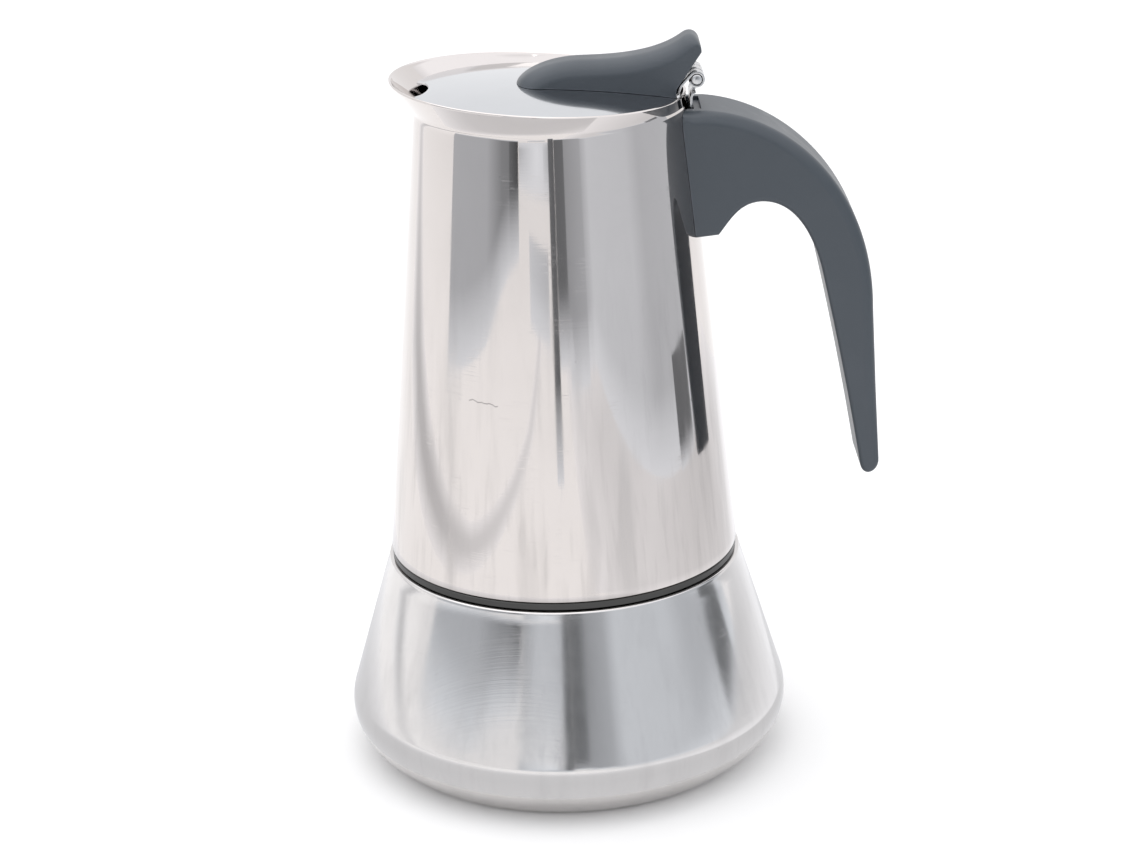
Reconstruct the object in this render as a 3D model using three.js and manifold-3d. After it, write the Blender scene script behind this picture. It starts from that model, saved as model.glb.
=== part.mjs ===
// Stovetop coffee maker: a screw-together boiler and collector with a hinged lid and a hooked handle.
// Millimetres, +Z up. The origin is on the pot's axis at the plane it stands on.
// The handle and the lid's hinge are on the +X side and the pouring lip is on the -X side.

import * as THREE from 'three';
import { mergeVertices } from 'three/addons/utils/BufferGeometryUtils.js';
import Module from 'manifold-3d';

const wasm = await Module();
wasm.setup();

// ---------------------------------------------------------------- driving dimensions

const GAP = 0.3; // left between two pieces that touch
const ROUND = 36; // facets round a large turned piece
const BODY_ROUND = 48; // facets round the collector, whose polish shows every facet
const SMALL_ROUND = 16; // facets round a pin, a screw or a valve part

const BOILER = {
  bellyR: 60, bellyZ: 14.1, bellyArc: 12.85, footArc: 9.3, footR: 47.2,
  underAngle: 46.4, flankAngle: 16.8, // degrees of the outward normal below and above level
  topR: 47.7, topZ: 56.7, edge: 0.6, wall: 1.1,
};
const NECK = {
  outerR: 42.4, boreR: 40.4, topZ: 66.8, ridge: 0.7, ridgeHalf: 0.8, ridges: 3, pitch: 2.6, firstZ: 59.8,
};

const COLLECTOR = { footR: 47.1, footZ: 59.1, neckR: 35.55, neckZ: 179.6, wall: 0.8 };
const RIM = { radius: 38.7, shiftX: -3.2, z: 185.4, tilt: 3.8, neckBend: 1.6 };
const THREAD_RING = {
  flangeR: 46.9, flangeTop: 58.8, barrelR: 44.6, barrelTop: 70.9, boreR: 44.0, landR: 43.5, landHalf: 0.7,
};
const FLOOR = { z: 71.3, thick: 1.2, holeR: 30.8 };

const FUNNEL = { flangeR: 42.2, basketR: 36.4, basketZ: 42, tubeR: 4.6, coneZ: 33, tubeEnd: 6, sheet: 0.8 };
const SCREEN = { thick: 0.6, holeR: 1.5, rings: 3, pitch: 9 };
const GASKET = { z: 68.2, thick: 2.8, innerR: 34.6, outerR: 42.4 };
const PLATE = { z: 68.6, thick: 1.4, radius: 34.2 };

const CHIMNEY = {
  flangeR: 30.4, mouthR: 24, rootR: 13, rootRise: 12, tipR: 6.6, tipRise: 34, topZ: 132, boreR: 4.2, wall: 1.4,
};
const CHIMNEY_CAP = { radius: 8.4, height: 13, wall: 1, slots: 4, slotHalf: 2, crown: 2.5, overlap: 7 };

const LID = { radius: 35, x: -1, z: 182.6, tilt: 2, dome: 3, sheet: 0.8, notchHalf: 9, notchDepth: 4.5 };
const LEVER = { halfWidth: 7.5, edge: 2.2 };
const PIN = { x: 37.9, z: 186.4, radius: 1.4, half: 6.7 };
const KNUCKLE = { boreR: 1.56, outerR: 2.1, centreHalf: 2.4, outerHalf: 6.4 };
const HANDLE = { halfWidth: 12.5, tipScale: 0.8, edge: 1.6, rootX: 40, tipX: 85 };
const STRAP = { half: 6.5, sheet: 0.9, bottomZ: 149, tabX: 43 };
const RIVET = { x: 31.7, y: 4, radius: 0.75, headR: 1.6, under: 2.2, seat: 1.4, over: 0.9 };
const LEVER_SCREW = { xs: [4, 20], radius: 1.2, headR: 2.6, under: 2.6, seat: 1.35, over: 5 };
const HANDLE_SCREW = { x: 40.9, radius: 1.2, headR: 1.9, headZ: 145.6, headHeight: 1.6, tipZ: 154 };

const VALVE = {
  z: 38, hexR: 8.2, hexTop: 4, capR: 6, stemR: 4.6, inside: 9, outside: 7.5, inletR: 1.8, chamberR: 3.5, seatZ: -4.1,
};
const VALVE_NUT = { hexR: 7.4, from: -6.4, to: -3.4, boreR: 4.85 };
const WASHER = { thick: 1, innerR: 4.9, outerR: 7.8 };
const CLIP = { from: 6.1, to: 6.9 };
const PLUNGER = { headR: 3, headTop: -0.4, stemR: 1.2, reach: 3 };
const SPRING = { radius: 2.4, wire: 0.35, turns: 4, from: 0.3, to: 4 };

// ---------------------------------------------------------------- finishes

const steelMirror = { color: 0xd6d6d4, roughness: 0.08, metalness: 1 };
const steelSatin = { color: 0xbdbcba, roughness: 0.28, metalness: 1 };
const steelDark = { color: 0x6b6b6b, roughness: 0.35, metalness: 1 };
const brass = { color: 0xc9a452, roughness: 0.3, metalness: 1 };
const slatePlastic = { color: 0x3e4650, roughness: 0.45, metalness: 0 };
const silicone = { color: 0xe9e7e0, roughness: 0.6, metalness: 0 };

// ---------------------------------------------------------------- helpers

const rad = THREE.MathUtils.degToRad;
const pot = new THREE.Group();

// Shared corners only, with the slivers that meet on a turned piece's axis dropped.
function weld(geometry) {
  const bare = geometry.clone();
  bare.deleteAttribute('normal');
  bare.deleteAttribute('uv');
  const merged = mergeVertices(bare, 1e-4);
  const corner = merged.index.array;
  const kept = [];
  for (let i = 0; i < corner.length; i += 3) {
    const [a, b, c] = [corner[i], corner[i + 1], corner[i + 2]];
    if (a !== b && b !== c && c !== a) kept.push(a, b, c);
  }
  merged.setIndex(kept);
  return merged;
}

function toSolid(geometry) {
  const welded = weld(geometry);
  return new wasm.Manifold(new wasm.Mesh({
    numProp: 3,
    vertProperties: new Float32Array(welded.attributes.position.array),
    triVerts: new Uint32Array(welded.index.array),
  }));
}

function toGeometry(manifold) {
  const mesh = manifold.getMesh();
  const geometry = new THREE.BufferGeometry();
  geometry.setAttribute('position', new THREE.BufferAttribute(new Float32Array(mesh.vertProperties), 3));
  geometry.setIndex(Array.from(mesh.triVerts));
  return geometry;
}

function subtract(geometry, ...cutters) {
  return toGeometry(cutters.reduce((body, cutter) => body.subtract(toSolid(cutter)), toSolid(geometry)));
}

function unite(geometry, ...others) {
  return toGeometry(others.reduce((body, other) => body.add(toSolid(other)), toSolid(geometry)));
}

// A profile of [radius, height] pairs, outside going up, turned about Z.
function turned(profile, facets = ROUND) {
  const points = profile.map(([r, z]) => new THREE.Vector2(r, z));
  return new THREE.LatheGeometry(points, facets).rotateX(Math.PI / 2);
}

function ring(innerR, outerR, z0, z1, facets = ROUND) {
  return turned([[innerR, z0], [outerR, z0], [outerR, z1], [innerR, z1], [innerR, z0]], facets);
}

function rod(radius, z0, z1, facets = SMALL_ROUND) {
  return turned([[0, z0], [radius, z0], [radius, z1], [0, z1]], facets);
}

function box(x0, x1, y0, y1, z0, z1) {
  const block = new THREE.BoxGeometry(x1 - x0, y1 - y0, z1 - z0);
  return block.translate((x0 + x1) / 2, (y0 + y1) / 2, (z0 + z1) / 2);
}

// A shape drawn in the XZ plane, pushed out to y = -half and y = +half.
function slab(shape, half, edge = 0, edgeSteps = 1, curveSteps = 8) {
  const geometry = new THREE.ExtrudeGeometry(shape, {
    depth: 2 * (half - edge),
    steps: 1,
    curveSegments: curveSteps,
    bevelEnabled: edge > 0,
    bevelThickness: edge,
    bevelSize: edge,
    bevelOffset: -edge,
    bevelSegments: edgeSteps,
  });
  return geometry.translate(0, 0, -(half - edge)).rotateX(Math.PI / 2);
}

function polygon(points) {
  return new THREE.Shape(points.map(([x, z]) => new THREE.Vector2(x, z)));
}

// Points on an arc in the profile plane, from one angle to another, in degrees.
function arc(centreR, centreZ, radius, from, to, steps) {
  const at = (i) => rad(from + ((to - from) * i) / steps);
  return Array.from({ length: steps + 1 }, (_, i) => [
    centreR + radius * Math.cos(at(i)),
    centreZ + radius * Math.sin(at(i)),
  ]);
}

function reshape(geometry, move) {
  const position = geometry.attributes.position;
  for (let i = 0; i < position.count; i += 1) {
    const [x, y, z] = move(position.getX(i), position.getY(i), position.getZ(i));
    position.setXYZ(i, x, y, z);
  }
  return geometry;
}

function add(name, geometry, finish, parent = pot) {
  const mesh = new THREE.Mesh(weld(geometry), new THREE.MeshStandardMaterial(finish));
  mesh.name = name;
  parent.add(mesh);
  return mesh;
}

// ---------------------------------------------------------------- boiler

const collectorRadius = (z) => {
  const fall = (COLLECTOR.footR - COLLECTOR.neckR) / (COLLECTOR.neckZ - COLLECTOR.footZ);
  return COLLECTOR.footR - fall * (z - COLLECTOR.footZ);
};

// The boiler's outline, or the same outline moved inwards by the wall.
function boilerOutline(inset) {
  const belly = BOILER.bellyArc - inset;
  const foot = BOILER.footArc - inset;
  return [
    ...arc(BOILER.footR, BOILER.footArc, foot, -90, -BOILER.underAngle, 3),
    ...arc(BOILER.bellyR - BOILER.bellyArc, BOILER.bellyZ, belly, -BOILER.underAngle, BOILER.flankAngle, 5),
  ];
}

const flankLean = Math.tan(rad(BOILER.flankAngle));
const flankRadius = (z) => BOILER.topR + (BOILER.topZ - z) * flankLean;

function makeBoiler() {
  const outside = [[0, 0], ...boilerOutline(0)];
  const topEdge = [
    [flankRadius(BOILER.topZ - BOILER.edge), BOILER.topZ - BOILER.edge],
    [BOILER.topR - BOILER.edge, BOILER.topZ],
  ];
  const neck = [[NECK.outerR, BOILER.topZ]];
  for (let i = 0; i < NECK.ridges; i += 1) {
    const z = NECK.firstZ + i * NECK.pitch;
    neck.push([NECK.outerR, z - NECK.ridgeHalf]);
    neck.push([NECK.outerR + NECK.ridge, z]);
    neck.push([NECK.outerR, z + NECK.ridgeHalf]);
  }
  neck.push([NECK.outerR, NECK.topZ], [NECK.boreR, NECK.topZ], [NECK.boreR, BOILER.topZ - BOILER.wall]);
  const shoulder = [[BOILER.topR - 2 * BOILER.wall, BOILER.topZ - BOILER.wall]];
  const inside = boilerOutline(BOILER.wall).reverse();
  return turned([...outside, ...topEdge, ...neck, ...shoulder, ...inside, [0, BOILER.wall]]);
}

// The safety valve sits square to the flank, on the +Y side.
const valveAxis = new THREE.Vector3(0, Math.cos(rad(BOILER.flankAngle)), Math.sin(rad(BOILER.flankAngle)));
const valveSeat = new THREE.Vector3(0, flankRadius(VALVE.z), VALVE.z);
const valve = new THREE.Group();
valve.position.copy(valveSeat);
valve.quaternion.setFromUnitVectors(new THREE.Vector3(0, 0, 1), valveAxis);
valve.updateMatrix();
pot.add(valve);

const valveHole = rod(VALVE.stemR + GAP, -6, 6).applyMatrix4(valve.matrix);
const valveSpotFace = rod(VALVE.hexR + 1, -0.35, 6).applyMatrix4(valve.matrix);
add('boiler', subtract(makeBoiler(), valveHole, valveSpotFace), steelSatin);

function hexPrism(radius, z0, z1) {
  return turned([[0, z0], [radius, z0], [radius, z1], [0, z1]], 6);
}

// The inlet bore opens at a conical seat into the spring's chamber.
const valveBore = turned([
  [0, -VALVE.inside - 1], [VALVE.inletR, -VALVE.inside - 1], [VALVE.inletR, VALVE.seatZ],
  [VALVE.chamberR, VALVE.seatZ + 1.7], [VALVE.chamberR, VALVE.outside + 1], [0, VALVE.outside + 1],
], SMALL_ROUND);
add('valve_body', subtract(
  unite(
    hexPrism(VALVE.hexR, WASHER.thick + GAP, VALVE.hexTop),
    rod(VALVE.stemR, -VALVE.inside, VALVE.hexTop - 1),
    rod(VALVE.capR, VALVE.hexTop - 1, VALVE.outside),
  ),
  valveBore,
), brass, valve);
add('valve_washer', ring(WASHER.innerR, WASHER.outerR, 0, WASHER.thick, SMALL_ROUND), silicone, valve);
const nutBlank = hexPrism(VALVE_NUT.hexR, VALVE_NUT.from, VALVE_NUT.to);
const nutBore = rod(VALVE_NUT.boreR, VALVE_NUT.from - 1, VALVE_NUT.to + 1);
add('valve_nut', subtract(nutBlank, nutBore), brass, valve);
const clip = ring(PLUNGER.stemR + 0.4, VALVE.chamberR - GAP, CLIP.from, CLIP.to, SMALL_ROUND);
add('valve_clip', clip, steelSatin, valve);

const plungerTip = VALVE.outside + PLUNGER.reach;
add('valve_plunger', turned([
  [0, VALVE.seatZ + 0.5], [VALVE.inletR - 0.3, VALVE.seatZ + 0.5], [PLUNGER.headR, VALVE.seatZ + 2],
  [PLUNGER.headR, PLUNGER.headTop], [PLUNGER.stemR, PLUNGER.headTop], [PLUNGER.stemR, plungerTip - 0.4],
  [PLUNGER.stemR - 0.4, plungerTip], [0, plungerTip],
], SMALL_ROUND), steelSatin, valve);

class Helix extends THREE.Curve {
  getPoint(t, target = new THREE.Vector3()) {
    const angle = 2 * Math.PI * SPRING.turns * t;
    const height = SPRING.from + (SPRING.to - SPRING.from) * t;
    return target.set(SPRING.radius * Math.cos(angle), SPRING.radius * Math.sin(angle), height);
  }
}
const wireSection = new THREE.Shape().absarc(0, 0, SPRING.wire, 0, 2 * Math.PI);
add('valve_spring', new THREE.ExtrudeGeometry(wireSection, {
  steps: SPRING.turns * 8, curveSegments: 3, extrudePath: new Helix(), bevelEnabled: false,
}), steelSatin, valve);

// ---------------------------------------------------------------- funnel and filters

function perforated(radius, z, thick) {
  const cutters = [];
  for (let ringNumber = 0; ringNumber < SCREEN.rings; ringNumber += 1) {
    const count = ringNumber === 0 ? 1 : 6 * ringNumber;
    for (let i = 0; i < count; i += 1) {
      const angle = (2 * Math.PI * i) / count;
      const reach = ringNumber * SCREEN.pitch;
      const cutter = rod(SCREEN.holeR, z - 1, z + thick + 1, 6);
      cutters.push(cutter.translate(reach * Math.cos(angle), reach * Math.sin(angle), 0));
    }
  }
  return subtract(rod(radius, z, z + thick, ROUND), ...cutters);
}

function makeFunnel() {
  const { flangeR, basketR, basketZ, tubeR, coneZ, tubeEnd, sheet } = FUNNEL;
  const flangeZ = NECK.topZ + GAP;
  return turned([
    [tubeR - sheet, tubeEnd], [tubeR, tubeEnd], [tubeR, coneZ - 4], [tubeR + 2, coneZ],
    [basketR - 2, basketZ - 3], [basketR, basketZ], [basketR, flangeZ], [flangeR, flangeZ],
    [flangeR, flangeZ + sheet], [basketR - sheet, flangeZ + sheet], [basketR - sheet, basketZ + 0.4],
    [basketR - 2 - sheet, basketZ - 2], [tubeR + 1.4, coneZ + sheet], [tubeR - sheet, coneZ - 3],
    [tubeR - sheet, tubeEnd],
  ]);
}
add('funnel', makeFunnel(), steelSatin);
const screenZ = FUNNEL.basketZ + 1.2;
add('funnel_screen', perforated(FUNNEL.basketR - FUNNEL.sheet - GAP, screenZ, SCREEN.thick), steelSatin);
add('gasket', ring(GASKET.innerR, GASKET.outerR, GASKET.z, GASKET.z + GASKET.thick), silicone);
add('filter_plate', perforated(PLATE.radius, PLATE.z, PLATE.thick), steelSatin);

// ---------------------------------------------------------------- collector

function makeThreadRing() {
  const { flangeR, flangeTop, barrelR, barrelTop, boreR, landR, landHalf } = THREAD_RING;
  const bottom = BOILER.topZ + GAP;
  const profile = [[boreR, bottom], [flangeR, bottom], [flangeR, flangeTop], [barrelR, flangeTop]];
  profile.push([barrelR, barrelTop], [boreR, barrelTop]);
  for (let i = NECK.ridges - 1; i >= 0; i -= 1) {
    const z = NECK.firstZ + (i + 0.5) * NECK.pitch;
    profile.push([boreR, z + landHalf], [landR, z], [boreR, z - landHalf]);
  }
  profile.push([boreR, bottom]);
  return turned(profile);
}
add('thread_ring', makeThreadRing(), steelDark);

// How far a height is up the flare, from 0 at the neck to 1 at the rim.
const flareShare = (z) => Math.max(0, (z - COLLECTOR.neckZ) / (RIM.z - COLLECTOR.neckZ));

// The rim is set towards the pouring lip and leans up there, so the flare is deepest at the lip.
function leanRim(geometry) {
  return reshape(geometry, (x, y, z) => {
    const share = flareShare(z);
    const drop = (x - share * RIM.shiftX) * Math.tan(rad(RIM.tilt));
    return [x + share * RIM.shiftX, y, z - share * drop];
  });
}

function flareOutline(inset) {
  const reach = RIM.radius - COLLECTOR.neckR;
  const height = RIM.z - COLLECTOR.neckZ;
  return [0, 0.15, 0.4, 0.7, 1].map((share) => [
    COLLECTOR.neckR - inset + reach * (0.55 * share + 0.45 * share ** RIM.neckBend),
    COLLECTOR.neckZ + height * share,
  ]);
}

function makeCollector() {
  const wall = COLLECTOR.wall;
  const outside = [[COLLECTOR.footR, COLLECTOR.footZ], ...flareOutline(0)];
  const inside = flareOutline(wall).reverse();
  const foot = [[COLLECTOR.footR - wall, COLLECTOR.footZ], [COLLECTOR.footR, COLLECTOR.footZ]];
  return leanRim(turned([...outside, ...inside, ...foot], BODY_ROUND));
}
add('collector', makeCollector(), steelMirror);

const floorR = collectorRadius(FLOOR.z + FLOOR.thick) - COLLECTOR.wall - GAP;
add('collector_floor', ring(FLOOR.holeR, floorR, FLOOR.z, FLOOR.z + FLOOR.thick), steelSatin);

function makeChimney() {
  const { flangeR, mouthR, rootR, rootRise, tipR, tipRise, topZ, boreR, wall } = CHIMNEY;
  const z = FLOOR.z;
  const outside = [
    [mouthR, z], [flangeR, z], [flangeR, z + FLOOR.thick], [mouthR - 2, z + 2.5],
    [rootR, z + rootRise], [tipR, z + tipRise], [tipR, topZ],
  ];
  const inside = [
    [boreR, topZ], [boreR, z + tipRise - 1], [rootR - wall - 0.2, z + rootRise - 1],
    [mouthR - 3, z + wall], [mouthR, z],
  ];
  return turned([...outside, ...inside], 32);
}
add('chimney', makeChimney(), steelSatin);

function makeChimneyCap() {
  const { radius, height, wall, slots, slotHalf, crown, overlap } = CHIMNEY_CAP;
  const z = CHIMNEY.topZ - overlap;
  const inner = CHIMNEY.tipR + GAP;
  const shell = turned([
    [inner, z], [radius, z], [radius, z + height - crown], [radius - crown, z + height],
    [0, z + height + 0.6], [0, z + height - wall], [inner, z + height - wall - 1.5], [inner, z],
  ], 24);
  const windows = Array.from({ length: slots / 2 }, (_, i) => {
    const reach = radius + 1;
    const window = box(-reach, reach, -slotHalf, slotHalf, CHIMNEY.topZ + 0.6, CHIMNEY.topZ + 3);
    return window.rotateZ((i * 2 * Math.PI) / slots + Math.PI / slots);
  });
  return subtract(shell, ...windows);
}
add('chimney_cap', makeChimneyCap(), steelSatin);

// ---------------------------------------------------------------- lid

// Lid pieces are drawn level about the lid's centre and then leaned with it.
const lidPlace = new THREE.Matrix4()
  .makeTranslation(LID.x, 0, LID.z)
  .multiply(new THREE.Matrix4().makeRotationY(rad(LID.tilt)));

function domeHeight(reach) {
  return LID.dome * (1 - (reach / LID.radius) ** 2);
}

// A domed disc from `under` below the lid's top surface up to `over` above it.
function domedDisc(radius, under, over, facets = ROUND) {
  const reaches = [0, 0.35, 0.65, 0.85, 1].map((share) => share * radius);
  const below = reaches.map((r) => [r, domeHeight(r) - under]);
  const above = reaches.map((r) => [r, domeHeight(r) + over]).reverse();
  return turned([...below, ...above], facets);
}

const lidTop = (x) => {
  const flat = x - LID.x;
  return LID.z - flat * Math.tan(rad(LID.tilt)) + domeHeight(Math.abs(flat));
};

// Holes in the lid for the screws and rivets that come up through it, each with room around it.
const screwHoles = LEVER_SCREW.xs.map((x) => {
  const z = lidTop(x);
  const hole = rod(LEVER_SCREW.radius + GAP, z - 3, z + LEVER_SCREW.over + GAP, 12);
  return hole.translate(x, 0, 0);
});
const rivetYs = [-RIVET.y, RIVET.y];
const rivetHoles = rivetYs.map((y) => {
  const z = lidTop(RIVET.x);
  const hole = rod(RIVET.radius + 0.35, z - 3, z + RIVET.over + 1.5, 12);
  return hole.translate(RIVET.x, y, 0);
});

// A turned fastener with its head under the lid and its shank up through it.
function lidFastener({ radius, headR, under, seat, over }, z, facets) {
  return turned([
    [0, z - under], [headR, z - under], [headR, z - seat], [radius, z - seat], [radius, z + over], [0, z + over],
  ], facets);
}

function makeLid() {
  const notch = new THREE.CylinderGeometry(LID.notchHalf, LID.notchHalf, 10, 24).rotateX(Math.PI / 2);
  notch.scale(LID.notchDepth / LID.notchHalf, 1, 1).translate(-LID.radius, 0, 0);
  const disc = subtract(domedDisc(LID.radius, LID.sheet, 0), notch).applyMatrix4(lidPlace);
  return subtract(disc, ...screwHoles, ...rivetHoles);
}
add('lid', makeLid(), steelMirror);

function leverShape() {
  const shape = new THREE.Shape();
  shape.moveTo(-8.5, 185.4);
  shape.bezierCurveTo(-8.6, 187.6, -2, 191.9, 9, 191.9);
  shape.bezierCurveTo(18, 191.9, 28, 192.4, 34.6, 197);
  shape.bezierCurveTo(37.2, 198.9, 39.6, 196.2, 39.1, 193.6);
  shape.lineTo(32.6, 184.2);
  shape.lineTo(31.2, 181);
  shape.lineTo(-8.2, 181);
  return shape;
}

const lidCover = domedDisc(LID.radius, 8, GAP).applyMatrix4(lidPlace);

// ---------------------------------------------------------------- hinge

function knuckle(y0, y1) {
  const half = (y1 - y0) / 2;
  const tube = ring(KNUCKLE.boreR, KNUCKLE.outerR, -half, half, 24).rotateX(Math.PI / 2);
  return tube.translate(PIN.x, (y0 + y1) / 2, PIN.z);
}

const boreCutter = () => rod(KNUCKLE.boreR, -9, 9, 24).rotateX(Math.PI / 2).translate(PIN.x, 0, PIN.z);

// The lid's leaf: two outer knuckles and a strap that steps down on to the lid.
function makeLidLeaf() {
  const r = KNUCKLE.outerR;
  const path = polygon([
    [PIN.x - 1.9, PIN.z - 0.2], [34.2, 184], [33.6, 181], [30.1, 182], [30.1, 183.3],
    [32.6, 182.85], [33.3, 184.5], [PIN.x - 0.6 * r, PIN.z + 0.8 * r],
  ]);
  const strap = slab(path, KNUCKLE.outerHalf);
  const middle = box(PIN.x - 3.1, PIN.x + 3, -KNUCKLE.centreHalf - GAP, KNUCKLE.centreHalf + GAP,
    PIN.z - 3, PIN.z + 4);
  const joined = unite(
    strap,
    knuckle(-KNUCKLE.outerHalf, -KNUCKLE.centreHalf - GAP),
    knuckle(KNUCKLE.centreHalf + GAP, KNUCKLE.outerHalf),
  );
  return subtract(joined, middle, boreCutter(), lidCover, ...rivetHoles);
}

add('hinge_leaf', makeLidLeaf(), steelSatin);
rivetYs.forEach((y, i) => {
  const rivet = lidFastener(RIVET, lidTop(RIVET.x), 12).translate(RIVET.x, y, 0);
  add(`hinge_rivet_${i + 1}`, rivet, steelSatin);
});
const pin = rod(PIN.radius, -PIN.half, PIN.half, 24).rotateX(Math.PI / 2);
add('hinge_pin', pin.translate(PIN.x, 0, PIN.z), steelSatin);

// The pot's strap: the middle knuckle, a band down the collector and a tab inside the handle.
const strapFace = (z) => Math.max(collectorRadius(z), COLLECTOR.neckR + 0.05) + 0.35;

function strapShape(grow = 0) {
  const sheet = STRAP.sheet + grow;
  const tabTop = STRAP.bottomZ + 1 + grow;
  return polygon([
    [strapFace(STRAP.bottomZ) - grow, STRAP.bottomZ - grow],
    [STRAP.tabX + grow, STRAP.bottomZ - grow],
    [STRAP.tabX + grow, tabTop],
    [strapFace(tabTop) + sheet, tabTop],
    [strapFace(COLLECTOR.neckZ) + sheet, COLLECTOR.neckZ],
    [strapFace(COLLECTOR.neckZ) + sheet, 182],
    [38.6, 184],
    [37.6, 184.5],
    [strapFace(COLLECTOR.neckZ) - grow, 182.2],
    [strapFace(COLLECTOR.neckZ) - grow, COLLECTOR.neckZ],
  ]);
}

function makeStrap() {
  const neckCut = [-1, 1].map((side) => {
    const y0 = side * (KNUCKLE.centreHalf - 0.3);
    const y1 = side * 9;
    return box(34, 42, Math.min(y0, y1), Math.max(y0, y1), 183.2, 190);
  });
  const wide = subtract(slab(strapShape(), STRAP.half), ...neckCut);
  const half = KNUCKLE.centreHalf - 0.3;
  const screwHole = rod(HANDLE_SCREW.radius + GAP, 140, 156).translate(HANDLE_SCREW.x, 0, 0);
  return subtract(unite(wide, knuckle(-half, half)), boreCutter(), screwHole);
}
add('hinge_strap', makeStrap(), steelSatin);

// ---------------------------------------------------------------- lever and its screws

function makeLever() {
  const leafSlot = box(29.8, 34, -KNUCKLE.outerHalf - GAP, KNUCKLE.outerHalf + GAP, 178, 184.8);
  return subtract(slab(leverShape(), LEVER.halfWidth, LEVER.edge, 2, 6), lidCover, leafSlot, ...screwHoles);
}
add('lid_lever', makeLever(), slatePlastic);

LEVER_SCREW.xs.forEach((x, i) => {
  const screw = lidFastener(LEVER_SCREW, lidTop(x), 16).translate(x, 0, 0);
  add(`lever_screw_${i + 1}`, screw, steelSatin);
});

// ---------------------------------------------------------------- handle

function handleShape() {
  const shape = new THREE.Shape();
  shape.moveTo(33, 179);
  shape.lineTo(HANDLE.rootX, 179);
  shape.bezierCurveTo(62, 177, 83.5, 157, 83.6, 124);
  shape.lineTo(85.2, 82);
  shape.bezierCurveTo(85.3, 78, 81, 76.6, 80.2, 80.5);
  shape.quadraticCurveTo(75.5, 110, 69.5, 137);
  shape.bezierCurveTo(66, 150, 60, 154.7, 54, 154.7);
  shape.bezierCurveTo(48, 154.7, 45.5, 149.5, 42.8, 146.3);
  shape.lineTo(33, 145.4);
  return shape;
}

function makeHandle() {
  const { halfWidth, edge, rootX, tipX, tipScale } = HANDLE;
  const blank = reshape(slab(handleShape(), halfWidth, edge, 2, 10), (x, y, z) => {
    const share = THREE.MathUtils.clamp((x - rootX) / (tipX - rootX), 0, 1);
    return [x, y * (1 - (1 - tipScale) * share), z];
  });
  const top = COLLECTOR.neckZ;
  const cone = turned([
    [0, 130], [collectorRadius(130) + GAP, 130], [collectorRadius(top) + GAP, top],
    [collectorRadius(top) + GAP, 190], [0, 190],
  ], BODY_ROUND);
  const strapSlot = slab(strapShape(0.35), STRAP.half + 0.35);
  const topRecess = box(30, 38.9, -7.3, 7.3, 175.5, 185);
  const { x, radius, headR, headZ, headHeight, tipZ } = HANDLE_SCREW;
  const screwHole = unite(
    rod(radius + GAP, headZ, tipZ + GAP).translate(x, 0, 0),
    rod(headR + GAP, 140, headZ + headHeight + GAP).translate(x, 0, 0),
  );
  return subtract(blank, cone, strapSlot, topRecess, screwHole);
}
add('handle', makeHandle(), slatePlastic);

const { x: screwX, radius: screwR, headR: screwHeadR, headZ: screwZ, headHeight, tipZ } = HANDLE_SCREW;
add('handle_screw', turned([
  [0, screwZ], [screwHeadR, screwZ], [screwHeadR, screwZ + headHeight * 0.4], [screwR, screwZ + headHeight],
  [screwR, tipZ], [0, tipZ],
], 16).translate(screwX, 0, 0), steelSatin);

export default pot;
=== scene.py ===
# %% [markdown]
# # A stovetop moka pot on a white table
#
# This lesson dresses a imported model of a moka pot: a satin boiler, a mirror-polished collector with a
# flared rim, a domed lid on a wire hinge, and a dark moulded handle and thumb lever.
#
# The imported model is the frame. It says where each part is, how large it is and how it moves. Blender
# adds the fine surface: round edges, rolled hinge leaves, real thread, scratches and moulded plastic.
# Everything is in metres and in the frame's own axes: +Z up, the handle on +X, the camera on -Y.

# %% Load the frame
import math

import bmesh
import bpy
from mathutils import Matrix, Vector


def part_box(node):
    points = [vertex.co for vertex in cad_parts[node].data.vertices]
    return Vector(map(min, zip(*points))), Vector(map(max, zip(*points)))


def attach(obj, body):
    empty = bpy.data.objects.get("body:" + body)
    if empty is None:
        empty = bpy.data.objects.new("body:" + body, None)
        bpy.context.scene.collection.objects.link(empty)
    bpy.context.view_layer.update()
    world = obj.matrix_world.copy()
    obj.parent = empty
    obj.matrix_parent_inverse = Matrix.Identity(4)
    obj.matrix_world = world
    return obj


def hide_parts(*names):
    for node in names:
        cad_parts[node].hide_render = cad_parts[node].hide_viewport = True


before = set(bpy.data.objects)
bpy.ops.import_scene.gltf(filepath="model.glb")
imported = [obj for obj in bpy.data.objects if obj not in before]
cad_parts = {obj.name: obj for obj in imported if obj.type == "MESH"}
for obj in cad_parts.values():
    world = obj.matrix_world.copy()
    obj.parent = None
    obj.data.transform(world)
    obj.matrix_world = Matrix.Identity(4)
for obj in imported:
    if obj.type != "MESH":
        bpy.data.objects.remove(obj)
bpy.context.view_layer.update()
scene = bpy.context.scene

# %% [markdown]
# ## Sizes that the frame gives
#
# A part that is rebuilt has to stay where its CAD node is, so its sizes are read from the node's box
# and not typed in twice. Outlines are easier to think about in millimetres, so they are kept in
# millimetres and turned into metres when a mesh is made.

# %% Read the driving sizes from the nodes
MM = 0.001


def box_mm(node):
    """The node's lowest and highest corners in millimetres."""
    low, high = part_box(node)
    return [v / MM for v in low], [v / MM for v in high]


def outer_radius(node):
    """Half the node's width across the handle's plane, in millimetres."""
    low, high = box_mm(node)
    return (high[1] - low[1]) / 2


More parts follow.
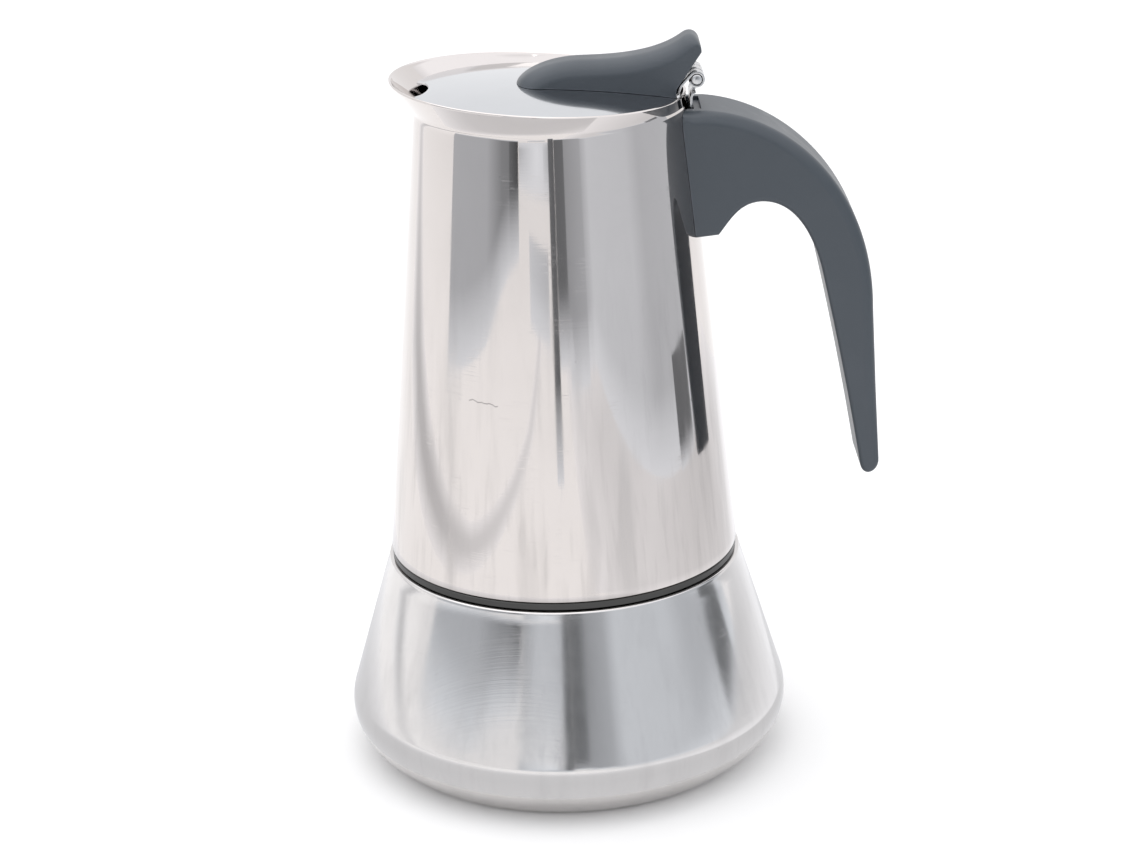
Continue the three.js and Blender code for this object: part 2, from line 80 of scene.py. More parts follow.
FLANGE_DROP = 0.12
FLANGE_BOTTOM = box_mm("thread_ring")[0][2] - FLANGE_DROP
FLANGE_R = outer_radius("thread_ring")
FOOT_Z = box_mm("collector")[0][2]
FOOT_R = 47.1
PIN_MID = [(a + b) / 2 for a, b in zip(*box_mm("hinge_pin"))]
print("collector foot", round(FOOT_Z, 2), "pin", [round(v, 2) for v in PIN_MID])

# %% [markdown]
# ## The camera
#
# A product shot like this one is taken from a little above with a long lens, so that the pot's sides
# stay nearly straight. The camera is 0.7 m in front and looks down by just under 20
# degrees. A long lens close up would be a different picture: distance sets the perspective, and the
# lens only crops it.

# %% Place the camera
CAMERA_DISTANCE = 0.7002
CAMERA_HEIGHT = 0.3415
CAMERA_PITCH = math.radians(19.73)
CAMERA_YAW = math.radians(0.21)
CAMERA_ROLL = math.radians(-1.79)
LENS = 86.76

forward = Vector((
    math.sin(CAMERA_YAW) * math.cos(CAMERA_PITCH),
    math.cos(CAMERA_YAW) * math.cos(CAMERA_PITCH),
    -math.sin(CAMERA_PITCH),
))
level = Vector((math.cos(CAMERA_YAW), -math.sin(CAMERA_YAW), 0))
lift = level.cross(forward)
right = level * math.cos(CAMERA_ROLL) + lift * math.sin(CAMERA_ROLL)
up = lift * math.cos(CAMERA_ROLL) - level * math.sin(CAMERA_ROLL)

camera_data = bpy.data.cameras.new("camera")
camera_data.lens = LENS
camera_data.sensor_width = 36
camera = bpy.data.objects.new("camera", camera_data)
turn = Matrix((right, up, -forward)).transposed().to_4x4()
camera.matrix_world = Matrix.Translation((0, -CAMERA_DISTANCE, CAMERA_HEIGHT)) @ turn
scene.collection.objects.link(camera)
scene.camera = camera
print("camera looks along", [round(v, 3) for v in forward])

# %% [markdown]
# ## The studio
#
# Polished steel has almost no look of its own: it shows the room. The room here is a white table under
# a large soft light, with a few tall grey boards standing round it, as a photographer would place
# them. The boards give the steel its dark and light bands. They are hidden from the camera and throw
# no shadow, so that the table stays plain.


# %% A helper that puts a mesh in the scene
def make_mesh(name, verts, faces):
    """A new object from points in millimetres."""
    mesh = bpy.data.meshes.new(name)
    mesh.from_pydata([[v * MM for v in co] for co in verts], [], faces)
    mesh.validate()
    mesh.update()
    obj = bpy.data.objects.new(name, mesh)
    scene.collection.objects.link(obj)
    return obj


def plain_material(name, colour, strength=None):
    """A matt surface, or a glowing one when it has a strength."""
    material = bpy.data.materials.new(name)
    material.use_nodes = True
    shader = material.node_tree.nodes["Principled BSDF"]
    if strength is None:
        shader.inputs["Base Color"].default_value = (*colour, 1)
        shader.inputs["Roughness"].default_value = 0.9
        shader.inputs["Specular IOR Level"].default_value = 0.1
    else:
        shader.inputs["Base Color"].default_value = (0, 0, 0, 1)
        shader.inputs["Specular IOR Level"].default_value = 0
        shader.inputs["Emission Color"].default_value = (*colour, 1)
        shader.inputs["Emission Strength"].default_value = strength
    return material


# %% The table, the soft light and the room's light
TABLE_HALF = 6000
table = make_mesh(
    "table",
    [(-TABLE_HALF, -TABLE_HALF, 0), (TABLE_HALF, -TABLE_HALF, 0), (TABLE_HALF, TABLE_HALF, 0),
     (-TABLE_HALF, TABLE_HALF, 0)],
    [(0, 1, 2, 3)],
)
table.data.materials.append(plain_material("table_white", (0.975, 0.975, 0.972)))

world = bpy.data.worlds.new("room")
world.use_nodes = True
world.node_tree.nodes["Background"].inputs["Color"].default_value = (1.0, 1.0, 1.015, 1)
world.node_tree.nodes["Background"].inputs["Strength"].default_value = 1.05
scene.world = world
scene.view_settings.view_transform = "Standard"


def soft_light(name, place, target, size, power):
    """A square soft light that faces its target."""
    data = bpy.data.lights.new(name, "AREA")
    data.shape = "SQUARE"
    data.size = size
    data.energy = power
    light = bpy.data.objects.new(name, data)
    light.location = place
    light.rotation_euler = (Vector(target) - Vector(place)).to_track_quat("-Z", "Y").to_euler()
    scene.collection.objects.link(light)
    return light


soft_light("top_light", (-0.25, 0.1, 1.5), (0, 0, 0.1), 1.6, 6.5)

# %% [markdown]
# A board stands on the table between two places, and may be paler at one end than at the other. Near
# the table every board fades into the white, because the table lights its foot. How high up in the
# steel a board's reflection ends says how far away the board is. The brightness is kept in the mesh
# itself, as a colour attribute, and one glowing material serves all the boards.

# %% Boards that the steel reflects
BOARD_TINT = (0.947, 0.997, 1.065)
CARD_TINT = (0.99, 1.0, 1.03)


def glow_material(name, tint):
    """A glowing material whose strength is each mesh's own colour attribute."""
    material = plain_material(name, tint, 1.0)
    tree = material.node_tree
    glow = tree.nodes.new("ShaderNodeAttribute")
    glow.attribute_name = "glow"
    tree.links.new(glow.outputs["Fac"], tree.nodes["Principled BSDF"].inputs["Emission Strength"])
    return material


board_glow = glow_material("board_glow", BOARD_TINT)
card_glow = glow_material("card_glow", CARD_TINT)


def hide_from_camera(obj):
    """Leaves a stage piece in reflections only."""
    obj.visible_camera = False
    obj.visible_shadow = False
    obj.visible_diffuse = False


def glowing_mesh(name, verts, faces, tones, material=board_glow):
    """A stage piece whose points each have their own brightness."""
    obj = make_mesh(name, verts, faces)
    layer = obj.data.color_attributes.new("glow", "FLOAT_COLOR", "POINT")
    for item, tone in zip(layer.data, tones):
        item.color = (tone, tone, tone, 1)
    obj.data.materials.append(material)
    hide_from_camera(obj)
    return obj


def at(angle, distance):
    """A place on the table, by its direction from the pot and its distance."""
    return distance * math.sin(math.radians(angle)), -distance * math.cos(math.radians(angle))


def stand_board(name, start, end, tone_start, tone_end, height=300, foot=(0, 0), fade=36, spread=0):
    """A board from start to end. `foot` is how high its lower edge is at each end."""
    rows = [(0.0, 1.0), (0.5, 0.55), (1.0, 0.0), (None, 0.0)]
    across = (Vector(end) - Vector(start)).normalized()
    verts, tones = [], []
    for share, melt in rows:
        ends = ((start, tone_start, foot[0], 0), (end, tone_end, foot[1], spread))
        for place, tone, low, extra in ends:
            widen = extra * melt
            z = height if share is None else low + fade * share
            verts.append((place[0] + across.x * widen, place[1] + across.y * widen, z))
            tones.append(tone + (1.03 - tone) * melt)
    faces = [(2 * k, 2 * k + 1, 2 * k + 3, 2 * k + 2) for k in range(len(rows) - 1)]
    return glowing_mesh(name, verts, faces, tones)


stand_board("left_grey", at(-84.5, 560), at(-52, 560), 0.62, 0.59, foot=(20, 50))
stand_board("left_turn", at(-52, 560), at(-40, 570), 0.59, 0.34, foot=(50, 78))
stand_board("left_dark", at(-40, 570), at(-33.5, 580), 0.33, 0.30, foot=(78, 88))
stand_board("left_darkest", at(-33.5, 580), at(-26.3, 580), 0.20, 0.09, foot=(88, 96))
stand_board("window_edge", at(-26.3, 2400), at(-20, 2400), 0.66, 0.88, height=260)
stand_board("window", at(-20, 2400), at(-12, 2400), 0.88, 1.08, height=260)
stand_board("window_middle", at(-12, 2400), at(-7, 2400), 1.08, 1.0, height=260)
stand_board("window_end", at(-7, 2400), at(-2.8, 2400), 0.9, 0.66, height=260)
stand_board("over_window", at(-26.3, 2300), at(-18, 2300), 0.45, 0.76, height=900, foot=(300, 300))
stand_board("over_window_end", at(-18, 2300), at(-2.8, 2300), 0.76, 0.72, height=900, foot=(300, 300))
stand_board("low_box", at(-19, 1150), at(-5, 1050), 0.86, 0.70, height=60, foot=(0, 0))
stand_board("mast", at(-2.9, 560), at(1.3, 560), 0.20, 0.17, height=340, foot=(0, 0), fade=45)
stand_board("post", at(1.5, 620), at(8.8, 620), 0.19, 0.21, height=340, foot=(44, 44), spread=34)
stand_board("middle", at(8.8, 700), at(22, 700), 0.44, 0.56, height=360, foot=(22, 22))
stand_board("right_turn", at(22, 914), at(27, 914), 0.62, 0.80, height=380)
stand_board("right_pale", at(27, 914), (420, -250), 0.83, 0.80, height=330)
stand_board("right_fall", (420, -250), (420, -150), 0.80, 0.66, height=330)
stand_board("right_grey", (420, -150), (420, 140), 0.66, 0.70, height=330)
stand_board("right_low", at(86, 410), at(101, 410), 0.20, 0.20, height=48, foot=(0, 0), fade=12)

# %% [markdown]
# High up all round hangs a pale cloth. Only surfaces that look upwards see it: the inside of the flared
# rim and the crown of the lever, which it lifts almost to white.

# %% The cloth overhead
CLOTH_R, CLOTH_FRONT, CLOTH_LOW, CLOTH_HIGH, CLOTH_STEPS = 1500, 520, 900, 2700, 48
verts, tones = [], []
for i in range(CLOTH_STEPS):
    turn = 360 * i / CLOTH_STEPS
    low = CLOTH_LOW if 90 < turn < 270 else CLOTH_FRONT
    for z, tone in ((low, 1.05), (low + 200, 1.33), (CLOTH_HIGH - 300, 1.33), (CLOTH_HIGH, 1.05)):
        verts.append((*at(turn, CLOTH_R), z))
        tones.append(tone)
faces = [(4 * i + k, 4 * ((i + 1) % CLOTH_STEPS) + k, 4 * ((i + 1) % CLOTH_STEPS) + k + 1, 4 * i + k + 1)
         for i in range(CLOTH_STEPS) for k in range(3)]
glowing_mesh("cloth", verts, faces, tones, card_glow)

# %% [markdown]
# The pot stands on a sheet of white card. The card's left edge is out of the picture, but the polished
# cone bends the thin shadow along that edge into one long curve. That shadow is painted: a soft grey
# line on the table, glowing and seen only in reflections. On the right the card loses a little light to
# the wall, and close round the pot it lies in the pot's own shade. Both are painted shade as well:
# glowing patches with lower tones, seen only in reflections.

# %% Painted shade on the card: the shadow along its edge and its shaded parts
CARD_WHITE = 1.17
EDGE_SHADOW_LINE = [(-250, -1450, 0.97, 11), (-235, -1000, 0.97, 11), (-240, -650, 0.99, 11),
             (-285, -380, 0.95, 13), (-305, -180, 0.88, 17), (-345, -40, 0.74, 27),
             (-395, 110, 0.70, 36), (-470, 280, 0.74, 42), (-640, 520, 0.87, 40),
             (-850, 850, 0.97, 40)]


def strip_faces(rows, columns):
    """Faces that join neighbouring rows of points."""
    return [(columns * i + k, columns * i + k + 1, columns * (i + 1) + k + 1, columns * (i + 1) + k)
            for i in range(rows - 1) for k in range(columns - 1)]


# The grey line is a painted shadow: a glowing strip along the card's edge, darker than the white card, that
# only reflections see.
verts, tones = [], []
for i, (x, y, tone, half) in enumerate(EDGE_SHADOW_LINE):
    before, after = EDGE_SHADOW_LINE[max(i - 1, 0)], EDGE_SHADOW_LINE[min(i + 1, len(EDGE_SHADOW_LINE) - 1)]
    along = Vector((after[0] - before[0], after[1] - before[1])).normalized()
    for share, level_tone in ((-2.4, CARD_WHITE), (-0.5, tone), (0.5, tone), (2.4, CARD_WHITE)):
        verts.append((x - along.y * half * share, y + along.x * half * share, 0.5))
        tones.append(level_tone)
glowing_mesh("card_edge_shadow", verts, strip_faces(len(EDGE_SHADOW_LINE), 4), tones, card_glow)

# Painted shade on the right of the card: a glowing patch whose tones drop below the card's white, seen only
# in reflections.
verts, tones = [], []
SIDE_SHADE_ROWS = [(-1100, 1.17), (-620, 0.92), (-420, 0.94), (-200, 0.99), (20, 0.86), (130, 0.84), (340, 1.17)]
for y, tone in SIDE_SHADE_ROWS:
    for x, share in ((95, 0), (215, 0.75), (300, 1), (418, 1)):
        verts.append((x, y, 0.4))
        tones.append(CARD_WHITE + (tone - CARD_WHITE) * share)
glowing_mesh("card_right_shade", verts, strip_faces(len(SIDE_SHADE_ROWS), 4), tones, card_glow)

# Painted shade close round the pot: a glowing ring, darker than the card, seen only in reflections.
verts, tones = [], []
for i in range(49):
    for radius, tone in ((61, 0.86), (80, 0.83), (125, 0.86), (200, CARD_WHITE)):
        verts.append((*at(7.5 * i, radius), 0.3))
        tones.append(tone)
glowing_mesh("card_shade", verts, strip_faces(49, 4), tones, card_glow)

# %% [markdown]
# ## Ways to make a shape
#
# Most of this pot was spun on a lathe, so most pieces here are a profile turned about the axis. The
# profile goes up on the outside and comes down on the inside, which makes a closed wall with real
# thickness. Bent sheet is a ribbon with thickness, and moulded plastic is a loft: a row of rounded
# cross-sections that are joined up.

# %% Turned pieces
TURN_STEPS = 192


def arc(centre, radius, start, end, steps):
    """Points on an arc in the profile plane, with angles in degrees."""
    angles = [math.radians(start + (end - start) * i / steps) for i in range(steps + 1)]
    return [(centre[0] + radius * math.cos(a), centre[1] + radius * math.sin(a)) for a in angles]


def bezier(p0, p1, p2, p3, steps, first=0):
    """Points on a cubic curve, from step `first` on."""
    points = []
    for i in range(first, steps + 1):
        t = i / steps
        s = 1 - t
        weights = (s * s * s, 3 * s * s * t, 3 * s * t * t, t * t * t)
        points.append(tuple(sum(w * p[k] for w, p in zip(weights, (p0, p1, p2, p3))) for k in (0, 1)))
    return points


def straight(start, end, steps):
    """Points between two others, without the first."""
    return [
        (start[0] + (end[0] - start[0]) * i / steps, start[1] + (end[1] - start[1]) * i / steps)
        for i in range(1, steps + 1)
    ]


def spin(profile, steps=TURN_STEPS, move=None):
    """Turns a profile of (radius, height) about Z. Points with no radius become one point."""
    verts, rows = [], []
    for radius, z in profile:
        if radius < 1e-6:
            rows.append([len(verts)] * steps)
            verts.append((0, 0, z))
            continue
        rows.append(list(range(len(verts), len(verts) + steps)))
        for i in range(steps):
            angle = 2 * math.pi * i / steps
            verts.append((radius * math.sin(angle), -radius * math.cos(angle), z))
    open_ends = profile[0][0] < 1e-6 and profile[-1][0] < 1e-6
    pairs = list(zip(rows, rows[1:] if open_ends else rows[1:] + rows[:1]))
    faces = []
    for low, high in pairs:
        for i in range(steps):
            j = (i + 1) % steps
            corners = []
            for corner in (low[i], low[j], high[j], high[i]):
                if corner not in corners:
                    corners.append(corner)
            if len(corners) > 2:
                faces.append(corners)
    if move:
        verts = [move(*v) for v in verts]
    return verts, faces


# %% Finishing a piece: smooth faces, sharp corners, its material and its body
def finish_piece(obj, material, body, nodes=(), sharp=32):
    """Shades a piece smoothly except at real corners, and ties it to the frame."""
    mesh = obj.data
    mesh.polygons.foreach_set("use_smooth", [True] * len(mesh.polygons))
    mesh.set_sharp_from_angle(angle=math.radians(sharp))
    mesh.materials.clear()
    mesh.materials.append(material)
    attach(obj, body)
    if nodes:
        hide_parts(*nodes)
    print(f"{obj.name}: {len(mesh.polygons)} faces on body {body}")
    return obj


def bake_modifiers(obj):
    """Makes what the modifiers give into the object's own mesh."""
    graph = bpy.context.evaluated_depsgraph_get()
    made = bpy.data.meshes.new_from_object(obj.evaluated_get(graph))
    obj.modifiers.clear()
    obj.data = made
    return obj


def combine(obj, operation, others):
    """Adds other shapes to a piece or takes them out of it, one after the other."""
    for other in others:
        modifier = obj.modifiers.new("combine", "BOOLEAN")
        modifier.operation = operation
        modifier.solver = "EXACT"
        modifier.object = other
        bake_modifiers(obj)
        bpy.data.objects.remove(other)
    return obj


def cut(obj, *cutters):
    """Takes the cutters' shapes out of a piece."""
    return combine(obj, "DIFFERENCE", cutters)


def even_shading(obj):
    """Lets large faces decide the shading where they meet small ones, so that flat sides look flat."""
    modifier = obj.modifiers.new("even", "WEIGHTED_NORMAL")
    modifier.weight = 60
    modifier.keep_sharp = True
    return obj


def round_edges(obj, width, angle):
    """Rounds a piece's corners, as every pressed or turned edge is."""
    modifier = obj.modifiers.new("edge", "BEVEL")
    modifier.width = width * MM
    modifier.segments = 2
    modifier.limit_method = "ANGLE"
    modifier.angle_limit = math.radians(angle)
    modifier.harden_normals = False
    return bake_modifiers(obj)


# %% Blocks, ribbons and lofts
def block(x0, x1, y0, y1, z0, z1):
    """A box as points and faces."""
    verts = [(x, y, z) for x in (x0, x1) for y in (y0, y1) for z in (z0, z1)]
    faces = [(0, 1, 3, 2), (4, 6, 7, 5), (0, 4, 5, 1), (2, 3, 7, 6), (0, 2, 6, 4), (1, 5, 7, 3)]
    return verts, faces


def loft(rings):
    """Joins closed rings of equal length, and closes both ends."""
    count = len(rings[0])
    verts = [p for ring_points in rings for p in ring_points]
    faces = [list(range(count))[::-1]]
    for k in range(len(rings) - 1):
        for i in range(count):
            j = (i + 1) % count
            faces.append((k * count + i, k * count + j, (k + 1) * count + j, (k + 1) * count + i))
    faces.append([(len(rings) - 1) * count + i for i in range(count)])
    return verts, faces


def ribbon(path, sheet, y0, y1):
    """Bent sheet: a path in the XZ plane with thickness, as wide as y0 to y1."""
    rings = []
    for i, (x, z) in enumerate(path):
        before, after = path[max(i - 1, 0)], path[min(i + 1, len(path) - 1)]
        along = Vector((after[0] - before[0], after[1] - before[1])).normalized()
        off = Vector((-along.y, along.x)) * sheet / 2
        rings.append([
            (x + off.x, y0, z + off.y), (x + off.x, y1, z + off.y),
            (x - off.x, y1, z - off.y), (x - off.x, y0, z - off.y),
        ])
    return loft(rings)


def fix_normals(obj):
    """Turns every face of a closed piece outwards."""
    mesh = bmesh.new()
    mesh.from_mesh(obj.data)
    bmesh.ops.recalc_face_normals(mesh, faces=mesh.faces)
    mesh.to_mesh(obj.data)
    mesh.free()
    return obj


print("helpers are ready")

# %% [markdown]
# ## Materials
#
# Real steel is never evenly clean. Each effect is its own node group, so that several materials can
# share it: fine scratches, the circles left by turning or polishing, and a soft cloud of handling marks.
# A group gives a mask or a height, and the material decides what to do with it.

# %% A small helper for node trees
class Nodes:
    """Adds nodes to a tree in one line each, and joins them up."""

    def __init__(self, tree):
        self.tree = tree

    def add(self, kind, inputs=None, **settings):
        node = self.tree.nodes.new(kind)
        for key, value in settings.items():
            setattr(node, key, value)
        for key, value in (inputs or {}).items():
            if isinstance(value, bpy.types.NodeSocket):
                self.tree.links.new(value, node.inputs[key])
            else:
                node.inputs[key].default_value = value
        return node

    def link(self, value, socket):
        self.tree.links.new(value, socket)

    def math(self, operation, a, b=0.0, clamp=False):
        node = self.add("ShaderNodeMath", {0: a, 1: b}, operation=operation, use_clamp=clamp)
        return node.outputs[0]

    def plus(self, a, b, clamp=False):
        return self.math("ADD", a, b, clamp)

    def minus(self, a, b):
        return self.math("SUBTRACT", a, b)

    def times(self, a, b, clamp=False):
        return self.math("MULTIPLY", a, b, clamp)

    def scaled(self, vector, factor):
        """A vector, made longer or shorter."""
        node = self.add("ShaderNodeVectorMath", {0: vector, "Scale": factor}, operation="SCALE")
        return node.outputs[0]

    def ramp(self, value, low, high):
        node = self.add("ShaderNodeMapRange", {"Value": value, "From Min": low, "From Max": high},
                        interpolation_type="SMOOTHSTEP")
        return node.outputs["Result"]

    def noise(self, vector, scale, detail=3.0, roughness=0.55):
        node = self.add("ShaderNodeTexNoise",
                        {"Vector": vector, "Scale": scale, "Detail": detail, "Roughness": roughness})
        return node.outputs["Fac"]

    def blend(self, share, first, second):
        """A colour between two others."""
        node = self.add("ShaderNodeMix", {0: share, 6: first, 7: second}, data_type="RGBA")
        return node.outputs[2]

    def stretch(self, vector, scale, rotation=(0, 0, 0), place=(0, 0, 0)):
        node = self.add("ShaderNodeMapping",
                        {"Vector": vector, "Scale": scale, "Rotation": rotation, "Location": place})
        return node.outputs["Vector"]


def new_group(name, inputs, outputs):
    """A node group with named inputs and outputs. Each input is (name, kind, default)."""
    tree = bpy.data.node_groups.new(name, "ShaderNodeTree")
    for label, kind, default in inputs:
        socket = tree.interface.new_socket(label, in_out="INPUT", socket_type=kind)
        if default is not None:
            socket.default_value = default
    for label, kind in outputs:
        tree.interface.new_socket(label, in_out="OUTPUT", socket_type=kind)
    nodes = Nodes(tree)
    return tree, nodes, nodes.add("NodeGroupInput"), nodes.add("NodeGroupOutput")


VALUE = "NodeSocketFloat"
VECTOR = "NodeSocketVector"

# %% [markdown]
# A scratch is a place where a stretched noise crosses a thin band of values. Two layers at different
# angles keep the scratches from looking combed. A slow noise decides where there are any at all.

# %% Node group: fine scratches
scratches, n, given, result = new_group(
    "fine_scratches",
    [("Vector", VECTOR, None), ("Scale", VALUE, 1.0), ("Amount", VALUE, 0.5)],
    [("Mask", VALUE)],
)
layers = []
SCRATCH_LAYERS = (
    ((0.2, 0.9, 0.3), (0, 0, 0)),
    ((1.2, -0.5, 2.1), (3, 5, 7)),
    ((0.4, 2.2, 1.1), (9, 2, 4)),
)
for rotation, place in SCRATCH_LAYERS:
    scaled = n.scaled(given.outputs["Vector"], given.outputs["Scale"])
    line = n.noise(n.stretch(scaled, (22, 22, 1900), rotation, place), 1.0, 1.0)
    thin = n.minus(1, n.ramp(n.math("ABSOLUTE", n.minus(line, 0.5)), 0.0, 0.007))
    where = n.ramp(n.noise(n.stretch(scaled, (1, 1, 1), rotation, place), 60, 2.0), 0.60, 0.72)
    layers.append(n.times(thin, where))
total = n.math("MAXIMUM", n.math("MAXIMUM", layers[0], layers[1]), layers[2])
n.link(n.times(total, given.outputs["Amount"], clamp=True), result.inputs["Mask"])
print("node group:", scratches.name)

# %% [markdown]
# Turning and belt polishing leave circles round the axis. In coordinates made of the radius and the
# height, with only a little of the angle, a plain noise becomes exactly that: long bands round the
# piece that slowly fade in and out.

# %% Node group: turning lines
turning, n, given, result = new_group(
    "turning_lines",
    [("Vector", VECTOR, None), ("Fineness", VALUE, 1.0), ("Streak", VALUE, 0.02)],
    [("Height", VALUE), ("Tone", VALUE)],
)
parts = n.add("ShaderNodeSeparateXYZ", {0: given.outputs["Vector"]})
x, y, z = (parts.outputs[k] for k in "XYZ")
radius = n.math("SQRT", n.plus(n.times(x, x), n.times(y, y)))
swing = given.outputs["Streak"]
ring_space = n.add("ShaderNodeCombineXYZ", {
    "X": n.times(x, swing), "Y": n.times(y, swing),
    "Z": n.plus(z, n.times(radius, 1.7)),
}).outputs[0]
fine = n.scaled(ring_space, given.outputs["Fineness"])
height = n.plus(n.times(n.noise(fine, 2600, 2.0), 0.6),
                n.times(n.noise(fine, 900, 2.0), 0.4))
tone = n.noise(fine, 260, 3.0)
n.link(height, result.inputs["Height"])
n.link(tone, result.inputs["Tone"])
print("node group:", turning.name)

# %% [markdown]
# Handling leaves a soft film on polished steel. It hardly has a colour of its own. It shows because it
# blurs the reflection, so this mask drives roughness.

# %% Node group: handling marks
handling, n, given, result = new_group(
    "handling_marks",
    [("Vector", VECTOR, None), ("Scale", VALUE, 1.0)],
    [("Film", VALUE), ("Specks", VALUE)],
)
scaled = n.scaled(given.outputs["Vector"], given.outputs["Scale"])
cloud = n.ramp(n.noise(scaled, 42, 4.0, 0.6), 0.42, 0.72)
smear = n.ramp(n.noise(n.stretch(scaled, (1, 1, 0.25), (0.3, 0.2, 0)), 130, 3.0), 0.48, 0.75)
film = n.plus(n.times(cloud, 0.65), n.times(smear, 0.35))
cells = n.add("ShaderNodeTexVoronoi", {"Vector": scaled, "Scale": 230, "Randomness": 1.0})
pick = n.add("ShaderNodeSeparateColor", {0: cells.outputs["Color"]})
rare = n.ramp(pick.outputs[0], 0.93, 0.96)
specks = n.times(rare, n.minus(1, n.ramp(cells.outputs["Distance"], 0.03, 0.085)))
n.link(film, result.inputs["Film"])
n.link(specks, result.inputs["Specks"])
print("node group:", handling.name)

# %% [markdown]
# A cone that is wiped and polished upwards keeps soft upright streaks. Stretching a noise along Z gives
# them, and a slow ramp fades them out above. The same mask darkens the steel most of all near its foot,
# and there it is painted shade: it stands in for the darker reflection of the shaded table close round
# the pot.

# %% Node group: upright streaks and painted shade
streak_shade_group, n, given, result = new_group(
    "upright_streaks_and_painted_shade",
    [("Vector", VECTOR, None), ("Top", VALUE, 0.15)],
    [("Tone", VALUE)],
)
broad = n.ramp(n.noise(n.stretch(given.outputs["Vector"], (1, 1, 0.07)), 120, 3.0), 0.46, 0.68)
narrow = n.ramp(n.noise(n.stretch(given.outputs["Vector"], (1, 1, 0.03)), 520, 2.0), 0.5, 0.7)
height = n.add("ShaderNodeSeparateXYZ", {0: given.outputs["Vector"]}).outputs["Z"]
# Full strength low down: this part of the mask is painted shade near the foot.
full_below = n.times(given.outputs["Top"], 0.45)
below = n.minus(1, n.ramp(height, full_below, given.outputs["Top"]))
both = n.plus(n.times(broad, 0.7), n.times(narrow, 0.3))
n.link(n.times(both, below, clamp=True), result.inputs["Tone"])
print("node group:", streak_shade_group.name)

# %% [markdown]
# One longer mark is easy to tell this pot by: a wavering hairline across the front of the collector. It
# is a thin band of heights that a noise bends, and it has a left and a right end.

# %% Node group: hairline
hairline, n, given, result = new_group(
    "hairline",
    [("Vector", VECTOR, None), ("Height", VALUE, 0.1112),
     ("Left", VALUE, -0.0232), ("Right", VALUE, -0.0158)],
    [("Mask", VALUE)],
)
parts = n.add("ShaderNodeSeparateXYZ", {0: given.outputs["Vector"]})
x, y, z = (parts.outputs[k] for k in "XYZ")
sideways = n.add("ShaderNodeCombineXYZ", {"X": x}).outputs[0]
bent = n.times(n.minus(n.noise(sideways, 330), 0.5), 0.0045)
away = n.math("ABSOLUTE", n.minus(n.minus(z, given.outputs["Height"]), bent))
line = n.minus(1, n.ramp(away, 0.00006, 0.0002))
span = n.times(n.math("GREATER_THAN", x, given.outputs["Left"]),
              n.math("LESS_THAN", x, given.outputs["Right"]))
front = n.math("LESS_THAN", y, 0.0)
n.link(n.times(n.times(line, span), front), result.inputs["Mask"])
print("node group:", hairline.name)

# %% [markdown]
# Moulded plastic has a fine spark-eroded grain, and it wears bright where it is held. The wear comes
# from the bevel trick: the shading normal of a slightly rounded corner differs from the true one only
# close to an edge.

# %% Node group: moulded grain
grain_group, n, given, result = new_group(
    "moulded_grain",
    [("Vector", VECTOR, None), ("Scale", VALUE, 1.0)],
    [("Height", VALUE), ("Tone", VALUE)],
)
scaled = n.scaled(given.outputs["Vector"], given.outputs["Scale"])
pits = n.noise(scaled, 2400, 2.0, 0.6)
waves = n.noise(scaled, 420, 2.0)
n.link(n.plus(n.times(pits, 0.75), n.times(waves, 0.25)),
                 result.inputs["Height"])
n.link(n.noise(scaled, 55, 3.0), result.inputs["Tone"])
print("node group:", grain_group.name)


# %% Node group: edge mask
edges_group, n, given, result = new_group("edge_mask", [("Width", VALUE, 0.0006)], [("Mask", VALUE)])
soft = n.add("ShaderNodeBevel", {"Radius": given.outputs["Width"]}, samples=6)
true = n.add("ShaderNodeNewGeometry")
same = n.add("ShaderNodeVectorMath", {0: soft.outputs[0], 1: true.outputs["Normal"]},
             operation="DOT_PRODUCT")
n.link(n.ramp(same.outputs["Value"], 0.995, 0.9), result.inputs["Mask"])
print("node group:", edges_group.name)

# %% [markdown]
# ### The steels
#
# One function makes every steel, from the mirror to the satin. Metal takes its colour from the base
# colour and its blur from the roughness. Brushing shows as anisotropy: the blur is long in one
# direction. The tangent runs round the pot's axis, so the blur stands upright, as it does on anything
# that has been polished on a lathe.


